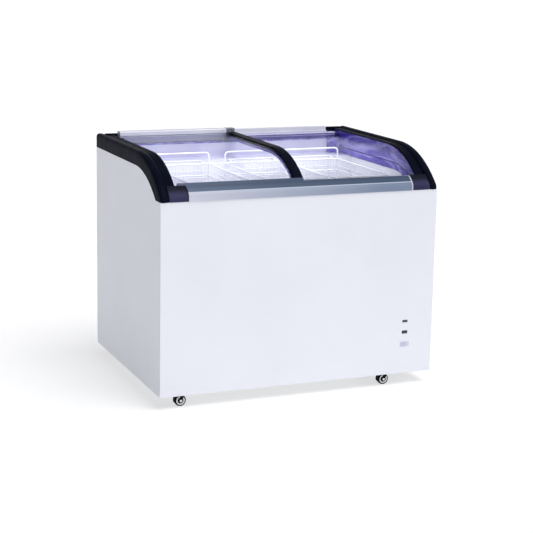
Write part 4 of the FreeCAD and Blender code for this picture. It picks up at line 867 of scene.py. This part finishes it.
def studio_world():
    """White to look at. What glossy parts mirror is pale at eye height, darker above and left."""
    world = bpy.data.worlds.new("studio")
    scene.world = world
    world.use_nodes = True
    tree = world.node_tree
    background = tree.nodes["Background"]
    way = add_node(tree, "SeparateXYZ", {0: add_node(tree, "TexCoord").outputs["Generated"]})
    tone = ramp(tree, way.outputs["Z"], [(0.0, (1, 1, 1, 1)), (0.12, (1, 1, 1, 1)),
                                         (0.35, (0.5, 0.5, 0.53, 1)),
                                         (1.0, (0.16, 0.165, 0.18, 1))])
    across = add_node(tree, "Math", {0: way.outputs["X"], 1: 1.0}, operation="ADD").outputs[0]
    side = ramp(tree, across, [(0.3, (0.1, 0.115, 0.16, 1)), (0.9, (1, 1, 1, 1))])
    above = spread(tree, way.outputs["Z"], 0.0, 1.0, 0.03, 0.1)
    mirrored = mix_colours(tree, above, tone, side, blend_type="MULTIPLY")
    straight = add_node(tree, "LightPath").outputs["Is Camera Ray"]
    seen = mix_colours(tree, straight, mirrored, (1, 1, 1, 1))
    tree.links.new(seen, background.inputs["Color"])
    background.inputs["Strength"].default_value = 1.0


def studio_sun(name, towards, strength, angle):
    """A soft key light. Its angle in degrees sets how soft the shadow is."""
    lamp = bpy.data.lights.new(name, "SUN")
    lamp.energy = strength
    lamp.angle = math.radians(angle)
    holder = bpy.data.objects.new(name, lamp)
    scene.collection.objects.link(holder)
    holder.rotation_euler = Vector(towards).to_track_quat("Z", "Y").to_euler()


def soft_panel(name, place, size, watts, towards=(0, 0, -1)):
    """A flat lamp in metres and watts. It is hidden from the camera and from reflections."""
    lamp = bpy.data.lights.new(name, "AREA")
    lamp.shape = "RECTANGLE"
    lamp.size, lamp.size_y = size
    lamp.energy = watts
    holder = bpy.data.objects.new(name, lamp)
    scene.collection.objects.link(holder)
    holder.location = place
    holder.rotation_euler = Vector(towards).to_track_quat("-Z", "Y").to_euler()
    holder.visible_camera = False
    holder.visible_glossy = False


CAMERA_PLACE = (-1.9554, -4.7000, 1.4960)
CAMERA_ANGLES = (22.803, 11.266, 1.060)
FOCAL_LENGTH, SENSOR = 96.377, 36.0
SHIFT_UP = -27 / 533


def photo_camera():
    """Camera from the front left and a little above, at a yaw, pitch and roll in degrees."""
    yaw, pitch, roll = (math.radians(angle) for angle in CAMERA_ANGLES)
    forward = Vector((math.sin(yaw) * math.cos(pitch), math.cos(yaw) * math.cos(pitch),
                      -math.sin(pitch)))
    right = Vector((math.cos(yaw), -math.sin(yaw), 0))
    up = right.cross(forward)
    across = right * math.cos(roll) + up * math.sin(roll)
    upward = -right * math.sin(roll) + up * math.cos(roll)
    lens = bpy.data.cameras.new("camera")
    lens.lens, lens.sensor_width = FOCAL_LENGTH, SENSOR
    lens.shift_y = SHIFT_UP
    lens.clip_end = 400.0
    camera = bpy.data.objects.new("camera", lens)
    scene.collection.objects.link(camera)
    camera.matrix_world = Matrix.Translation(CAMERA_PLACE) @ Matrix(
        (across, upward, -forward)).transposed().to_4x4()
    scene.camera = camera


stage_floor()
studio_world()
studio_sun("key", (0.24, -0.36, 0.90), 1.95, 40)
soft_panel("tub_light", (0, 0.02, 0.806), (0.84, 0.42), 1.4)
soft_panel("rear_fill", (0, -0.02, 0.802), (0.82, 0.02), 0.16, (0, 1, 0.04))
photo_camera()
scene.view_settings.view_transform = "Standard"
scene.cycles.use_denoising = True
scene.cycles.max_bounces = 14
scene.cycles.transparent_max_bounces = 24
